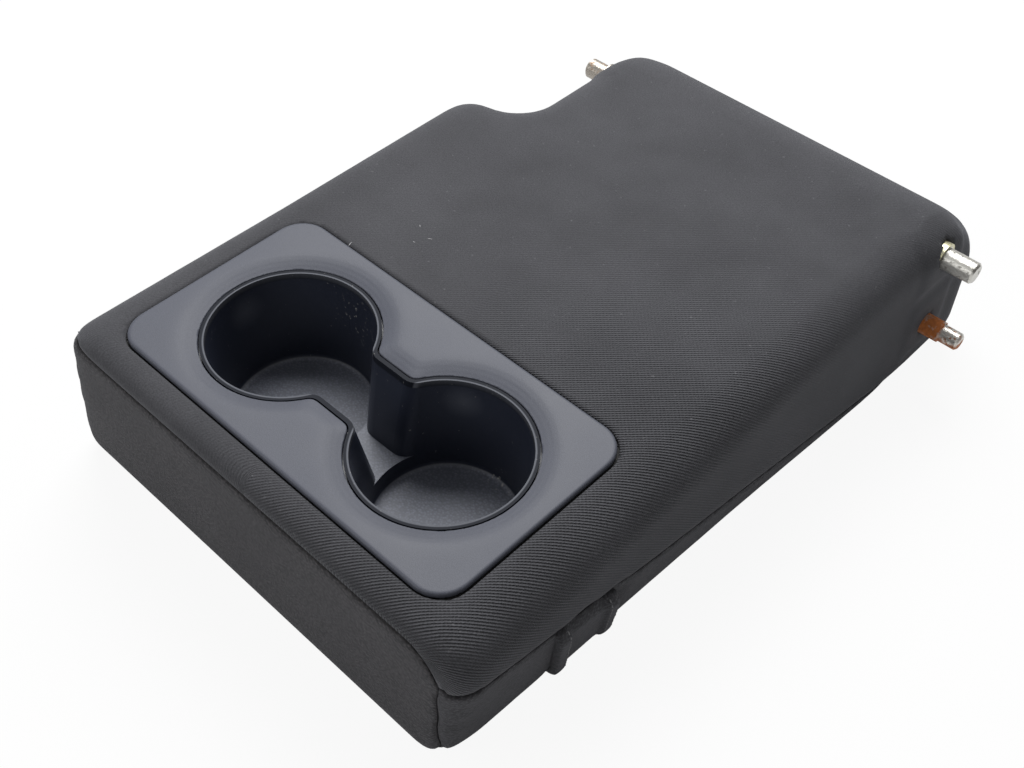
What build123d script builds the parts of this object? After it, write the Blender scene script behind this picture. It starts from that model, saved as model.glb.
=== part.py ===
from build123d import *

import os
from math import acos, degrees, sqrt

# Frame: origin on the underside, X to the side with no notch, Y to the hinge end, Z up. Millimetres.

# Upholstered pad
pad_width = 249.0
pad_length = 370.5
pad_height = 96.0
side_roll = 20.0
rear_roll = 54.0
front_roll = 9.5
under_roll = 9.0
cover_thickness = 3.0
far = 40.0

# Side seam, and how far the sides lean in and out below it
seam_below_top = 26.0
seam_from_rear = 34.5
right_lean = 18.0
left_lean = 18.0
left_lean_from_notch = 12.0
front_seam_inset = 10.5

# Notch at the rear of the left side
notch_depth = 36.5
notch_from_rear = 138.5
notch_outer_radius = 21.0
notch_inner_radius = 20.0

# Hemmed strap round the lower band
strap_run = 62.5
strap_width = 35.5
strap_proud = 2.0
strap_seat = 1.5
hem_width = 6.0
hem_proud = 3.2

# Bezel plate of the cup holder
bezel_width = 202.5
bezel_depth = 106.9
bezel_corner = 14.5
bezel_front_margin = 13.0
bezel_proud = 1.0
bezel_thickness = 3.0
bezel_edge_round = 1.5
bezel_gap = 0.8
cup_spacing = 94.0
opening_radius = 40.0
opening_neck = 18.0
opening_nose_share = 0.443
dish_width = 7.5
dish_drop = 2.4
dish_nose_share = 0.72
collar_wall = 3.0
collar_depth = 3.0
collar_nose_share = 0.21

# Cup tub
tub_gap = 0.6
tub_wall = 2.0
cup_depth = 53.5
cup_floor_radius = 33.8
floor_thickness = 2.5
floor_round = 3.0
saddle_depth = 44.5
saddle_half_width = 6.5
saddle_nose_share = 0.68
flange_margin = 8.0
flange_corner = 30.0
flange_thickness = 2.2
hook_offset = 50.0
hook_width = 12.0
hook_wall = 2.0
hook_barb = 1.5
hook_play = 0.3
pocket_play = 1.0

# Screws, tabs and bosses that carry the tub
boss_radius = 4.5
boss_height = 5.0
boss_offset = 14.0
screw_radius = 2.0
screw_grip = 6.0
screw_head_radius = 4.0
screw_head_height = 2.6
tab_width = 20.0
tab_thickness = 2.5
tab_hole_play = 0.25
tab_overlap = 6.0
tab_nose = 7.0

# Wire frame
rod_radius = 5.0
rod_bend = 35.0
rod_jog_bend = 20.0
rod_to_screw = 13.0
rod_end_gap = 22.0
jog_length = 50.0
jog_from_hinge = 65.0
tube_radius = 8.0
tube_wall = 1.5
tube_back = 28.0
tube_below_pivot = 23.3

# Hinge plates and pins
plate_thickness = 4.0
plate_inset = 17.5
plate_round = 13.0
plate_arm = 47.0
plate_arm_round = 9.0
hinge_from_rear = 45.4
pivot_below_top = 17.7
stop_below_pivot = 43.5
pivot_shank_radius = 6.0
pivot_radius = 5.5
stop_shank_radius = 5.5
stop_radius = 4.6
right_reach = 17.0
right_stop_reach = 21.0
left_reach = 13.5
pin_chamfer = 1.0
rivet_radius = 8.5
rivet_height = 3.0
bush_radius = 7.5
bush_proud = 0.5
hole_play = 0.4

# Closing strips at the rear of the underside
strip_length = 170.0
strip_offset = 18.0
strip_wall = 1.2
strip_base = 9.0
strip_hook = 3.0
strip_play = 0.3

# Positions that follow from the sizes above
front = -pad_length / 2
rear = pad_length / 2
side = pad_width / 2
left_rear_side = side - notch_depth
seam_end = rear - seam_from_rear
seam_front_height = pad_height - seam_below_top
seam_run = seam_end - front
notch_start = rear - notch_from_rear
lean_end = notch_start - left_lean_from_notch
bezel_top = pad_height + bezel_proud
bezel_under = bezel_top - bezel_thickness
cup_y = front + bezel_front_margin + bezel_depth / 2
rim_top = bezel_top - dish_drop
rim_radius = opening_radius - tub_gap - tub_wall
saddle_top = bezel_top - saddle_depth
floor_top = bezel_top - cup_depth
floor_under = floor_top - floor_thickness
flange_top = bezel_under - collar_depth
collar_radius = opening_radius + collar_wall
collar_neck = opening_neck + collar_wall
dish_radius = opening_radius + dish_width
dish_neck = opening_neck + dish_width
flange_width = cup_spacing + 2 * (opening_radius + flange_margin)
flange_depth = 2 * (opening_radius + flange_margin)
hook_y = flange_depth / 2 + hook_play + hook_wall / 2
hook_under = flange_top - flange_thickness - hook_play - hook_barb
tab_top = floor_under - boss_height
tab_under = tab_top - tab_thickness
rod_z = tab_under - rod_radius
rod_offset = boss_offset + rod_to_screw
hinge_y = rear - hinge_from_rear
pivot_height = pad_height - pivot_below_top
stop_height = pivot_height - stop_below_pivot
tube_height = pivot_height - tube_below_pivot
jog_end = hinge_y - jog_from_hinge
jog_start = jog_end - jog_length
rod_end = hinge_y - rod_end_gap
right_plate = side - plate_inset
left_plate = left_rear_side - plate_inset
right_leg = right_plate - plate_thickness - rod_radius
left_leg = left_plate - plate_thickness - rod_radius


def side_lean_plane(inset):
    """The face of the right side below the seam, leaning in toward the underside at the front."""
    at_seam = Vector(side, front, seam_front_height)
    at_end = Vector(side, seam_end, 0)
    at_foot = Vector(side - right_lean, front, 0)
    outward = (at_foot - at_seam).cross(at_end - at_seam).normalized()
    if outward.X < 0:
        outward = -outward
    return Plane(origin=at_seam - outward * inset, z_dir=outward)


def left_side_x(height, inset):
    """Where the left side lies at the front edge, leaning out toward the underside."""
    shoulder = pad_height - side_roll
    return -(side - inset) - left_lean * (shoulder - height) / shoulder


def pad_block(inset):
    """The pad's shape before its edges are rolled, moved in by the inset."""
    half = side - inset
    nose = front + inset
    tail = rear - inset
    top = pad_height - inset
    roll = rear_roll - inset
    turn = degrees(acos(1 - notch_depth / (notch_outer_radius + notch_inner_radius)))
    with BuildPart() as block:
        # Side profile with the large roll over the rear
        with BuildSketch(Plane.YZ):
            with BuildLine():
                flat = Polyline((tail, inset), (nose, inset), (nose, top), (tail - roll, top))
                bend = JernArc(start=flat @ 1, tangent=(1, 0), radius=roll, arc_size=-90)
                Line(bend @ 1, flat @ 0)
            make_face()
        extrude(amount=half, both=True)
        # The left front quarter leans out, so it is taken off and lofted
        with BuildSketch():
            with Locations((-half, nose)):
                Rectangle(2 * half, 2 * (lean_end - nose))
        extrude(amount=2 * pad_height, both=True, mode=Mode.SUBTRACT)
        with BuildSketch(Plane.XZ.offset(-nose)):
            leaning = [(left_side_x(top, inset), top), (left_side_x(inset, inset), inset)]
            Polygon((0, inset), (0, top), *leaning, align=None)
        with BuildSketch(Plane.XZ.offset(-lean_end)):
            Polygon((0, inset), (0, top), (-half, top), (-half, inset), align=None)
        loft(ruled=True)
        # Notch in the rear of the left side
        with BuildSketch():
            with BuildLine():
                outer = JernArc(
                    start=(-half, notch_start),
                    tangent=(0, 1),
                    radius=notch_outer_radius - inset,
                    arc_size=-turn,
                )
                inner = JernArc(
                    start=outer @ 1,
                    tangent=outer % 1,
                    radius=notch_inner_radius + inset,
                    arc_size=turn,
                )
                Polyline(
                    inner @ 1,
                    ((inner @ 1).X, tail + far),
                    (-half - far, tail + far),
                    (-half - far, notch_start),
                    outer @ 0,
                )
            make_face()
        extrude(amount=2 * pad_height, both=True, mode=Mode.SUBTRACT)
        split(bisect_by=side_lean_plane(inset), keep=Keep.BOTTOM)
    return block.part


def pad_form(inset):
    """The pad's shape with its edges rolled, moved in by the inset."""
    with BuildPart() as form:
        add(pad_block(inset))
        # Top edge, rear roll and rear corners
        top_face = form.faces().filter_by(Axis.Z).sort_by(Axis.Z)[-1]
        roll_face = form.faces().filter_by(GeomType.CYLINDER).sort_by(Axis.Y)[-1]
        rear_face = form.faces().filter_by(Axis.Y).sort_by(Axis.Y)[-1]
        rolled = top_face.edges() - top_face.edges().filter_by(Axis.X)
        rolled = rolled + roll_face.edges().filter_by(GeomType.CIRCLE)
        rolled = rolled + rear_face.edges().filter_by(Axis.Z)
        fillet(rolled, radius=side_roll - inset)
        # Front face, all round but for its foot
        front_face = form.faces().filter_by(Axis.Y).sort_by(Axis.Y)[0]
        fillet(front_face.edges().sort_by(Axis.Z)[1:], radius=front_roll - inset)
        # Underside
        under_face = form.faces().filter_by(Axis.Z).sort_by(Axis.Z)[0]
        fillet(under_face.edges(), radius=under_roll - inset)
    return form.part


def below_seam():
    """The room below the side seam and under the pad, which the boat panel takes up."""
    rise = seam_front_height / seam_run
    with BuildPart() as room:
        with BuildSketch(Plane.YZ):
            Polygon(
                (front - far, rise * (seam_run + far)),
                (seam_end - cover_thickness / rise, cover_thickness),
                (seam_end, cover_thickness),
                (seam_end, -far),
                (front - far, -far),
                align=None,
            )
        extrude(amount=pad_width, both=True)
    return room.part


def strap_band(proud, start, width):
    """One width of the strap, standing proud of the sides and flat on the underside."""
    with BuildPart() as band:
        add(pad_block(-proud))
        with BuildSketch():
            with Locations((0, start + width / 2)):
                Rectangle(2 * pad_width, width)
        extrude(amount=2 * pad_height, mode=Mode.INTERSECT)
        under_face = band.faces().filter_by(Axis.Z).sort_by(Axis.Z)[0]
        long_edges = under_face.edges().filter_by(lambda edge: abs(edge.tangent_at(0.5).Y) > 0.8)
        fillet(long_edges, radius=under_roll + proud)
    return band.part


def waist(radius, neck):
    """Half the straight run of the neck between two cups of the given radius."""
    return cup_spacing / 2 - sqrt(radius**2 - neck**2)


def figure_eight(radius, neck, nose):
    """Two round cups joined by a neck, with the two noses between them rounded."""
    with BuildSketch() as outline:
        with Locations((-cup_spacing / 2, 0), (cup_spacing / 2, 0)):
            Circle(radius)
        Rectangle(cup_spacing, 2 * neck)
        fillet(outline.vertices().sort_by(lambda vertex: abs(vertex.X))[:4], radius=nose)
    return outline.sketch


opening_nose = opening_nose_share * waist(opening_radius, opening_neck)


def cup_radius(height):
    """The inner radius of a cup at a height, narrowing from the rim to the floor."""
    return cup_floor_radius + (rim_radius - cup_floor_radius) * (height - floor_top) / (rim_top - floor_top)


def cup_block(wall, saddle, bottom):
    """The cups and their neck, grown by a wall, from the rim to the given bottoms."""
    neck = opening_neck - tub_gap - tub_wall + wall
    nose = opening_nose + tub_gap + tub_wall - wall
    saddle_radius = cup_radius(saddle) + wall
    saddle_neck = saddle_half_width + wall
    saddle_nose = saddle_nose_share * waist(saddle_radius, saddle_neck)
    with BuildPart() as block:
        with BuildSketch(Plane((0, cup_y, saddle))):
            add(figure_eight(saddle_radius, saddle_neck, saddle_nose))
        with BuildSketch(Plane((0, cup_y, rim_top))):
            add(figure_eight(rim_radius + wall, neck, nose))
        loft(ruled=True)
        for x in (-cup_spacing / 2, cup_spacing / 2):
            with BuildSketch(Plane((x, cup_y, bottom))):
                Circle(cup_radius(bottom) + wall)
            with BuildSketch(Plane((x, cup_y, saddle))):
                Circle(cup_radius(saddle) + wall)
            loft(ruled=True)
    return block.part


def screw_places():
    """The four screws under the cups."""
    spots = []
    for x in (-cup_spacing / 2, cup_spacing / 2):
        for y in (-boss_offset, boss_offset):
            spots.append((x, cup_y + y))
    return spots


def hinge_plate(face, sign):
    """A flat plate that carries the two pins and is welded to the end of the frame rod."""
    with BuildPart() as plate:
        with BuildSketch(Plane.YZ.offset(sign * (face - plate_thickness / 2))):
            with Locations((hinge_y, pivot_height), (hinge_y, stop_height)):
                Circle(plate_round)
            with Locations((hinge_y - plate_arm, rod_z)):
                Circle(plate_arm_round)
            make_hull()
            with Locations((hinge_y, pivot_height)):
                Circle(pivot_shank_radius, mode=Mode.SUBTRACT)
            with Locations((hinge_y, stop_height)):
                Circle(stop_shank_radius, mode=Mode.SUBTRACT)
        extrude(amount=plate_thickness / 2, both=True)
    return plate.part


def stepped_pin(height, face, shoulder, tip, shank_radius, tip_radius, sign):
    """A pin riveted in its plate, thick up to its shoulder and thinner at its tip."""
    start = face - plate_thickness
    with BuildPart() as pin:
        with BuildSketch(Plane.YZ.offset(sign * start)):
            with Locations((hinge_y, height)):
                Circle(rivet_radius)
        extrude(amount=-sign * rivet_height)
        with BuildSketch(Plane.YZ.offset(sign * start)):
            with Locations((hinge_y, height)):
                Circle(shank_radius)
        extrude(amount=sign * (shoulder - start))
        with BuildSketch(Plane.YZ.offset(sign * shoulder)):
            with Locations((hinge_y, height)):
                Circle(tip_radius)
        extrude(amount=sign * (tip - shoulder))
        far_face = pin.faces().filter_by(Axis.X).sort_by(Axis.X)[-1 if sign > 0 else 0]
        chamfer(far_face.edges(), length=pin_chamfer)
    return pin.part


def pivot_bush(face, end, sign):
    """A collar on the pivot pin, from its plate to just outside the fabric."""
    with BuildPart() as bush:
        with BuildSketch(Plane.YZ.offset(sign * face)):
            with Locations((hinge_y, pivot_height)):
                Circle(bush_radius)
                Circle(pivot_shank_radius, mode=Mode.SUBTRACT)
        extrude(amount=sign * (end - face))
    return bush.part


# Wire frame bent from one rod
with BuildPart() as frame_rod:
    with BuildLine(Plane.XY.offset(rod_z)) as rod_path:
        front_run = FilletPolyline(
            (right_leg, rod_end),
            (right_leg, cup_y - rod_offset),
            (-right_leg, cup_y - rod_offset),
            (-right_leg, jog_start - rod_jog_bend),
            radius=rod_bend,
        )
        FilletPolyline(
            front_run @ 1,
            (-right_leg, jog_start),
            (-left_leg, jog_end),
            (-left_leg, rod_end),
            radius=rod_jog_bend,
        )
    with BuildSketch(Plane(rod_path.line @ 0, z_dir=rod_path.line % 0)):
        Circle(rod_radius)
    sweep()
frame_rod.part.label = "frame_rod"

# Cross rod behind the cups, coped to the legs
with BuildPart() as cross_rod:
    with BuildSketch(Plane.YZ):
        with Locations((cup_y + rod_offset, rod_z)):
            Circle(rod_radius)
    extrude(amount=right_leg, both=True)
    add(frame_rod.part, mode=Mode.SUBTRACT)
cross_rod.part.label = "cross_rod"

# Cross tube between the two hinge plates
with BuildPart() as rear_cross_tube:
    with BuildSketch(Plane.YZ.offset(plate_thickness - left_plate)):
        with Locations((hinge_y - tube_back, tube_height)):
            Circle(tube_radius)
            Circle(tube_radius - tube_wall, mode=Mode.SUBTRACT)
    extrude(amount=right_plate + left_plate - 2 * plate_thickness)
rear_cross_tube.part.label = "rear_cross_tube"

# Hinge plates
with BuildPart() as hinge_plate_right:
    add(hinge_plate(right_plate, 1))
hinge_plate_right.part.label = "hinge_plate_right"

with BuildPart() as hinge_plate_left:
    add(hinge_plate(left_plate, -1))
hinge_plate_left.part.label = "hinge_plate_left"

# Pivot pins, with the bush's end at the shoulder
with BuildPart() as pivot_pin_right:
    add(
        stepped_pin(
            pivot_height,
            right_plate,
            side + bush_proud,
            side + right_reach,
            pivot_shank_radius,
            pivot_radius,
            1,
        )
    )
pivot_pin_right.part.label = "pivot_pin_right"

with BuildPart() as pivot_pin_left:
    add(
        stepped_pin(
            pivot_height,
            left_plate,
            left_rear_side + bush_proud,
            left_rear_side + left_reach,
            pivot_shank_radius,
            pivot_radius,
            -1,
        )
    )
pivot_pin_left.part.label = "pivot_pin_left"

# Stop pins, stepped half way out
with BuildPart() as stop_pin_right:
    add(
        stepped_pin(
            stop_height,
            right_plate,
            side + right_stop_reach / 2,
            side + right_stop_reach,
            stop_shank_radius,
            stop_radius,
            1,
        )
    )
stop_pin_right.part.label = "stop_pin_right"

with BuildPart() as stop_pin_left:
    add(
        stepped_pin(
            stop_height,
            left_plate,
            left_rear_side + left_reach / 2,
            left_rear_side + left_reach,
            stop_shank_radius,
            stop_radius,
            -1,
        )
    )
stop_pin_left.part.label = "stop_pin_left"

# Bushes on the pivot pins
with BuildPart() as pivot_bush_right:
    add(pivot_bush(right_plate, side + bush_proud, 1))
pivot_bush_right.part.label = "pivot_bush_right"

with BuildPart() as pivot_bush_left:
    add(pivot_bush(left_plate, left_rear_side + bush_proud, -1))
pivot_bush_left.part.label = "pivot_bush_left"

# Four tabs welded on top of the rods
with BuildPart() as mount_tabs:
    with BuildSketch(Plane.XY.offset(tab_under)):
        for x, y in screw_places():
            away = -1 if y < cup_y else 1
            start = y - away * tab_nose
            end = cup_y + away * (rod_offset + tab_overlap)
            with Locations((x, (start + end) / 2)):
                Rectangle(tab_width, abs(end - start))
            with Locations((x, y)):
                Circle(screw_radius + tab_hole_play, mode=Mode.SUBTRACT)
    extrude(amount=tab_thickness)
mount_tabs.part.label = "mount_tabs"

# Four screws up through the tabs
with BuildPart() as tub_screws:
    with BuildSketch(Plane.XY.offset(tab_under - screw_head_height)):
        with Locations(*screw_places()):
            Circle(screw_head_radius)
    extrude(amount=screw_head_height)
    with BuildSketch(Plane.XY.offset(tab_under)):
        with Locations(*screw_places()):
            Circle(screw_radius)
    extrude(amount=tab_thickness + screw_grip)
tub_screws.part.label = "tub_screws"

# One-piece tub with both cups, its flange and its screw bosses
with BuildPart() as cup_tub:
    add(cup_block(tub_wall, saddle_top - tub_wall, floor_under))
    with BuildSketch(Plane((0, cup_y, flange_top))):
        RectangleRounded(flange_width, flange_depth, flange_corner)
    extrude(amount=-flange_thickness)
    with BuildSketch(Plane.XY.offset(tab_top)):
        with Locations(*screw_places()):
            Circle(boss_radius)
    extrude(amount=boss_height)
    add(cup_block(0, saddle_top, floor_top), mode=Mode.SUBTRACT)
    with BuildSketch(Plane.XY.offset(tab_top)):
        with Locations(*screw_places()):
            Circle(screw_radius)
    extrude(amount=screw_grip, mode=Mode.SUBTRACT)
    floor_edges = cup_tub.edges().filter_by(GeomType.CIRCLE)
    floor_edges = floor_edges.filter_by(lambda edge: abs(edge.center().Z - floor_top) < 0.01)
    fillet(floor_edges, radius=floor_round)
cup_tub.part.label = "cup_tub"

# Bezel plate with a dished band round the opening, a collar under it and four hooks
with BuildPart() as cup_bezel:
    with BuildSketch(Plane((0, cup_y, bezel_under))):
        RectangleRounded(bezel_width, bezel_depth, bezel_corner)
    extrude(amount=bezel_thickness)
    fillet(cup_bezel.faces().sort_by(Axis.Z)[-1].edges(), radius=bezel_edge_round)
    with BuildSketch(Plane((0, cup_y, bezel_under))):
        add(figure_eight(collar_radius, collar_neck, collar_nose_share * waist(collar_radius, collar_neck)))
    extrude(amount=-collar_depth)
    with BuildSketch(Plane((0, cup_y, flange_top))):
        add(figure_eight(opening_radius, opening_neck, opening_nose))
    extrude(amount=collar_depth + bezel_thickness, mode=Mode.SUBTRACT)
    with BuildSketch(Plane((0, cup_y, rim_top))):
        add(figure_eight(opening_radius, opening_neck, opening_nose))
    with BuildSketch(Plane((0, cup_y, bezel_top))):
        add(figure_eight(dish_radius, dish_neck, dish_nose_share * waist(dish_radius, dish_neck)))
    loft(ruled=True, mode=Mode.SUBTRACT)
    for away in (-1, 1):
        with BuildSketch(Plane((0, cup_y + away * hook_y, hook_under))):
            with Locations((-hook_offset, 0), (hook_offset, 0)):
                Rectangle(hook_width, hook_wall)
        extrude(amount=bezel_under - hook_under)
        with BuildSketch(Plane((0, cup_y + away * (hook_y - hook_wall / 2 - hook_barb / 2), hook_under))):
            with Locations((-hook_offset, 0), (hook_offset, 0)):
                Rectangle(hook_width, hook_barb)
        extrude(amount=hook_barb)
cup_bezel.part.label = "cup_bezel"

# Closing strips, two hooked profiles sewn to the edges where the cover is shut
with BuildPart() as closing_strip_front:
    with BuildSketch(Plane.YZ.offset(strip_offset)):
        tall = cover_thickness + 2 * strip_wall + strip_hook
        edge = seam_end - strip_play
        with BuildLine():
            Polyline(
                (edge - strip_base, cover_thickness),
                (edge, cover_thickness),
                (edge, tall),
                (edge - strip_wall - strip_hook, tall),
                (edge - strip_wall - strip_hook, tall - strip_wall),
                (edge - strip_wall, tall - strip_wall),
                (edge - strip_wall, cover_thickness + strip_wall),
                (edge - strip_base, cover_thickness + strip_wall),
                close=True,
            )
        make_face()
    extrude(amount=strip_length / 2, both=True)
closing_strip_front.part.label = "closing_strip_front"

with BuildPart() as closing_strip_rear:
    with BuildSketch(Plane.YZ.offset(strip_offset)):
        over = tall + strip_play
        lip = edge - strip_wall - strip_hook - strip_play
        with BuildLine():
            Polyline(
                (seam_end + strip_base, cover_thickness),
                (seam_end, cover_thickness),
                (seam_end, over),
                (lip, over),
                (lip, over - strip_wall - strip_play),
                (lip - strip_wall, over - strip_wall - strip_play),
                (lip - strip_wall, over + strip_wall),
                (seam_end + strip_wall, over + strip_wall),
                (seam_end + strip_wall, cover_thickness + strip_wall),
                (seam_end + strip_base, cover_thickness + strip_wall),
                close=True,
            )
        make_face()
    extrude(amount=strip_length / 2, both=True)
closing_strip_rear.part.label = "closing_strip_rear"

# Flat front panel of the cover
with BuildPart() as cover_front:
    with BuildSketch(Plane.XZ.offset(-front)):
        with BuildSketch(mode=Mode.PRIVATE) as whole_front:
            Polygon(
                (side, pad_height),
                (left_side_x(pad_height, 0), pad_height),
                (left_side_x(0, 0), 0),
                (side - right_lean, 0),
                (side, seam_front_height),
                align=None,
            )
            fillet(whole_front.vertices().sort_by(Axis.Y)[-2:], radius=side_roll)
        add(offset(whole_front.sketch, amount=-front_seam_inset, mode=Mode.PRIVATE))
    extrude(amount=-cover_thickness)
cover_front.part.label = "cover_front"

# Strap with a folded hem along each edge, sewn into the side seams
with BuildPart() as cover_strap:
    add(strap_band(strap_proud, front + strap_run, strap_width))
    add(strap_band(hem_proud, front + strap_run, hem_width))
    add(strap_band(hem_proud, front + strap_run + strap_width - hem_width, hem_width))
    add(below_seam(), mode=Mode.INTERSECT)
    add(pad_form(strap_seat), mode=Mode.SUBTRACT)
cover_strap.part.label = "cover_strap"

# Boat panel under the pad and up to the side seams
with BuildPart() as cover_under:
    add(pad_form(0))
    add(pad_form(cover_thickness), mode=Mode.SUBTRACT)
    add(below_seam(), mode=Mode.INTERSECT)
    add(cover_front.part, mode=Mode.SUBTRACT)
    add(cover_strap.part, mode=Mode.SUBTRACT)
cover_under.part.label = "cover_under"

# Top panel over the sides and the rear, open for the cup holder and the pins
with BuildPart() as cover_top:
    add(pad_form(0))
    add(pad_form(cover_thickness), mode=Mode.SUBTRACT)
    add(below_seam(), mode=Mode.SUBTRACT)
    add(cover_front.part, mode=Mode.SUBTRACT)
    with BuildSketch(Plane((0, cup_y, bezel_under))):
        RectangleRounded(bezel_width + 2 * bezel_gap, bezel_depth + 2 * bezel_gap, bezel_corner + bezel_gap)
    extrude(amount=bezel_thickness, mode=Mode.SUBTRACT)
    with BuildSketch(Plane((0, cup_y, hook_under))):
        Rectangle(flange_width + 2 * pocket_play, 2 * (hook_y + hook_wall / 2 + pocket_play))
    extrude(amount=bezel_top - hook_under, mode=Mode.SUBTRACT)
    with BuildSketch(Plane.YZ.offset(-pad_width)):
        with Locations((hinge_y, pivot_height)):
            Circle(bush_radius + hole_play)
        with Locations((hinge_y, stop_height)):
            Circle(stop_shank_radius + hole_play)
    extrude(amount=2 * pad_width, mode=Mode.SUBTRACT)
cover_top.part.label = "cover_top"

# Moulded foam with pockets for the tub and everything inside
with BuildPart() as foam_pad:
    add(pad_form(cover_thickness))
    with BuildSketch(Plane((0, cup_y, hook_under - pocket_play))):
        Rectangle(flange_width + 2 * pocket_play, 2 * (hook_y + hook_wall / 2 + pocket_play))
    extrude(amount=pad_height - hook_under + pocket_play, mode=Mode.SUBTRACT)
    with BuildSketch(Plane((0, cup_y, tab_under - screw_head_height))):
        SlotCenterToCenter(cup_spacing, 2 * (opening_radius + pocket_play))
    extrude(amount=pad_height - tab_under, mode=Mode.SUBTRACT)
    with BuildSketch(Plane.YZ.offset(strip_offset)):
        with Locations((edge - strip_base, cover_thickness)):
            Rectangle(
                seam_end - edge + 2 * strip_base,
                over + strip_wall - cover_thickness,
                align=(Align.MIN, Align.MIN),
            )
    extrude(amount=strip_length / 2, both=True, mode=Mode.SUBTRACT)
    add(frame_rod.part, mode=Mode.SUBTRACT)
    add(cross_rod.part, mode=Mode.SUBTRACT)
    with BuildSketch(Plane.YZ.offset(plate_thickness - left_plate)):
        with Locations((hinge_y - tube_back, tube_height)):
            Circle(tube_radius)
    extrude(amount=right_plate + left_plate - 2 * plate_thickness, mode=Mode.SUBTRACT)
    add(hinge_plate_right.part, mode=Mode.SUBTRACT)
    add(hinge_plate_left.part, mode=Mode.SUBTRACT)
    for pin in (pivot_pin_right, pivot_pin_left, stop_pin_right, stop_pin_left):
        add(pin.part, mode=Mode.SUBTRACT)
    for bush in (pivot_bush_right, pivot_bush_left):
        add(bush.part, mode=Mode.SUBTRACT)
foam_pad.part.label = "foam_pad"

# One file for each piece
os.makedirs("parts", exist_ok=True)
export_step(cover_top.part, "parts/cover_top.step")
export_step(cover_front.part, "parts/cover_front.step")
export_step(cover_under.part, "parts/cover_under.step")
export_step(cover_strap.part, "parts/cover_strap.step")
export_step(closing_strip_front.part, "parts/closing_strip_front.step")
export_step(closing_strip_rear.part, "parts/closing_strip_rear.step")
export_step(foam_pad.part, "parts/foam_pad.step")
export_step(frame_rod.part, "parts/frame_rod.step")
export_step(cross_rod.part, "parts/cross_rod.step")
export_step(rear_cross_tube.part, "parts/rear_cross_tube.step")
export_step(hinge_plate_right.part, "parts/hinge_plate_right.step")
export_step(hinge_plate_left.part, "parts/hinge_plate_left.step")
export_step(pivot_pin_right.part, "parts/pivot_pin_right.step")
export_step(pivot_pin_left.part, "parts/pivot_pin_left.step")
export_step(stop_pin_right.part, "parts/stop_pin_right.step")
export_step(stop_pin_left.part, "parts/stop_pin_left.step")
export_step(pivot_bush_right.part, "parts/pivot_bush_right.step")
export_step(pivot_bush_left.part, "parts/pivot_bush_left.step")
export_step(mount_tabs.part, "parts/mount_tabs.step")
export_step(tub_screws.part, "parts/tub_screws.step")
export_step(cup_tub.part, "parts/cup_tub.step")
export_step(cup_bezel.part, "parts/cup_bezel.step")
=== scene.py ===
# %% [markdown]
# # A rear seat armrest
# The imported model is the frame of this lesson: steel, plastic and foam that already have their
# true sizes. Here the fabric is made soft, and every surface gets its finish.

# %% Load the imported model
import math

import bmesh
import bpy
from mathutils import Matrix, Vector, kdtree, noise
from mathutils.bvhtree import BVHTree


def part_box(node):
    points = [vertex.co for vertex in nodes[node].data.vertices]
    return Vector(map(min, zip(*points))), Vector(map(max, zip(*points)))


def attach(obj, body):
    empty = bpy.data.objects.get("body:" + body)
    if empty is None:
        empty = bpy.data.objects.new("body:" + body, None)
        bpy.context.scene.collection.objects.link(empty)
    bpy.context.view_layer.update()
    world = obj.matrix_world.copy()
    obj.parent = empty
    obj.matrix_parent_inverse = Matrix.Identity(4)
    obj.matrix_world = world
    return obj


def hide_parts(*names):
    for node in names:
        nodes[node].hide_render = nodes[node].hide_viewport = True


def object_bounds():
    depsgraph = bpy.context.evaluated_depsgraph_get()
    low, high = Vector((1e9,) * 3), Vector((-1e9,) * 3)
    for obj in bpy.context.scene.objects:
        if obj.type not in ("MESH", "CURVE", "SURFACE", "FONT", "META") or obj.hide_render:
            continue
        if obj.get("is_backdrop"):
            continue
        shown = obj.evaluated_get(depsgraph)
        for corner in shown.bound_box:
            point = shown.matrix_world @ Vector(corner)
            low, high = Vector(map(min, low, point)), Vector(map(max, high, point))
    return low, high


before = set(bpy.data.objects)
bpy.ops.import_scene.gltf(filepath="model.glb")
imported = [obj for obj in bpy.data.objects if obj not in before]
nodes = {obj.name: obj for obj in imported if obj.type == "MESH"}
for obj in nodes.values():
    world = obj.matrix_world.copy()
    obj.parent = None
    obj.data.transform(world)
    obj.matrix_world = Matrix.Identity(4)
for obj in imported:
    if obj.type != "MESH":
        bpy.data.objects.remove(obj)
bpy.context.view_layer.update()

# %% [markdown]
# ## Sizes that several pieces share
# The soft pieces have to meet the solids, so most of their outlines are read from the solids'
# boxes. Only the pad's half widths, its rolled edges and the seam's height are written out, as
# they are on the real cover.

# %% Shared sizes
SIDE_X = 0.1245
LEFT_REAR_X = -0.088
SIDE_ROLL = 0.020
REAR_ROLL = 0.054
SEAM_FRONT_Z = 0.070
front_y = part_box("cover_top")[0].y
rear_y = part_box("cover_top")[1].y
top_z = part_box("cover_top")[1].z
bezel_low, bezel_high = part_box("cup_bezel")
bezel_centre = Vector((0, (bezel_low.y + bezel_high.y) / 2, bezel_high.z))
cup_y = bezel_centre.y
seam_end_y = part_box("cover_under")[1].y
seam_slope = SEAM_FRONT_Z / (seam_end_y - front_y)
print("front", front_y, "rear", rear_y, "bezel centre", bezel_centre)

# %% [markdown]
# ## The camera
# The picture was taken from above one front corner. A camera could be nudged by eye until it
# fits. This one was solved from the bezel's straight edges instead, so its turn, rise, roll and
# distance are plain numbers, measured from the middle of the bezel.

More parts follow.
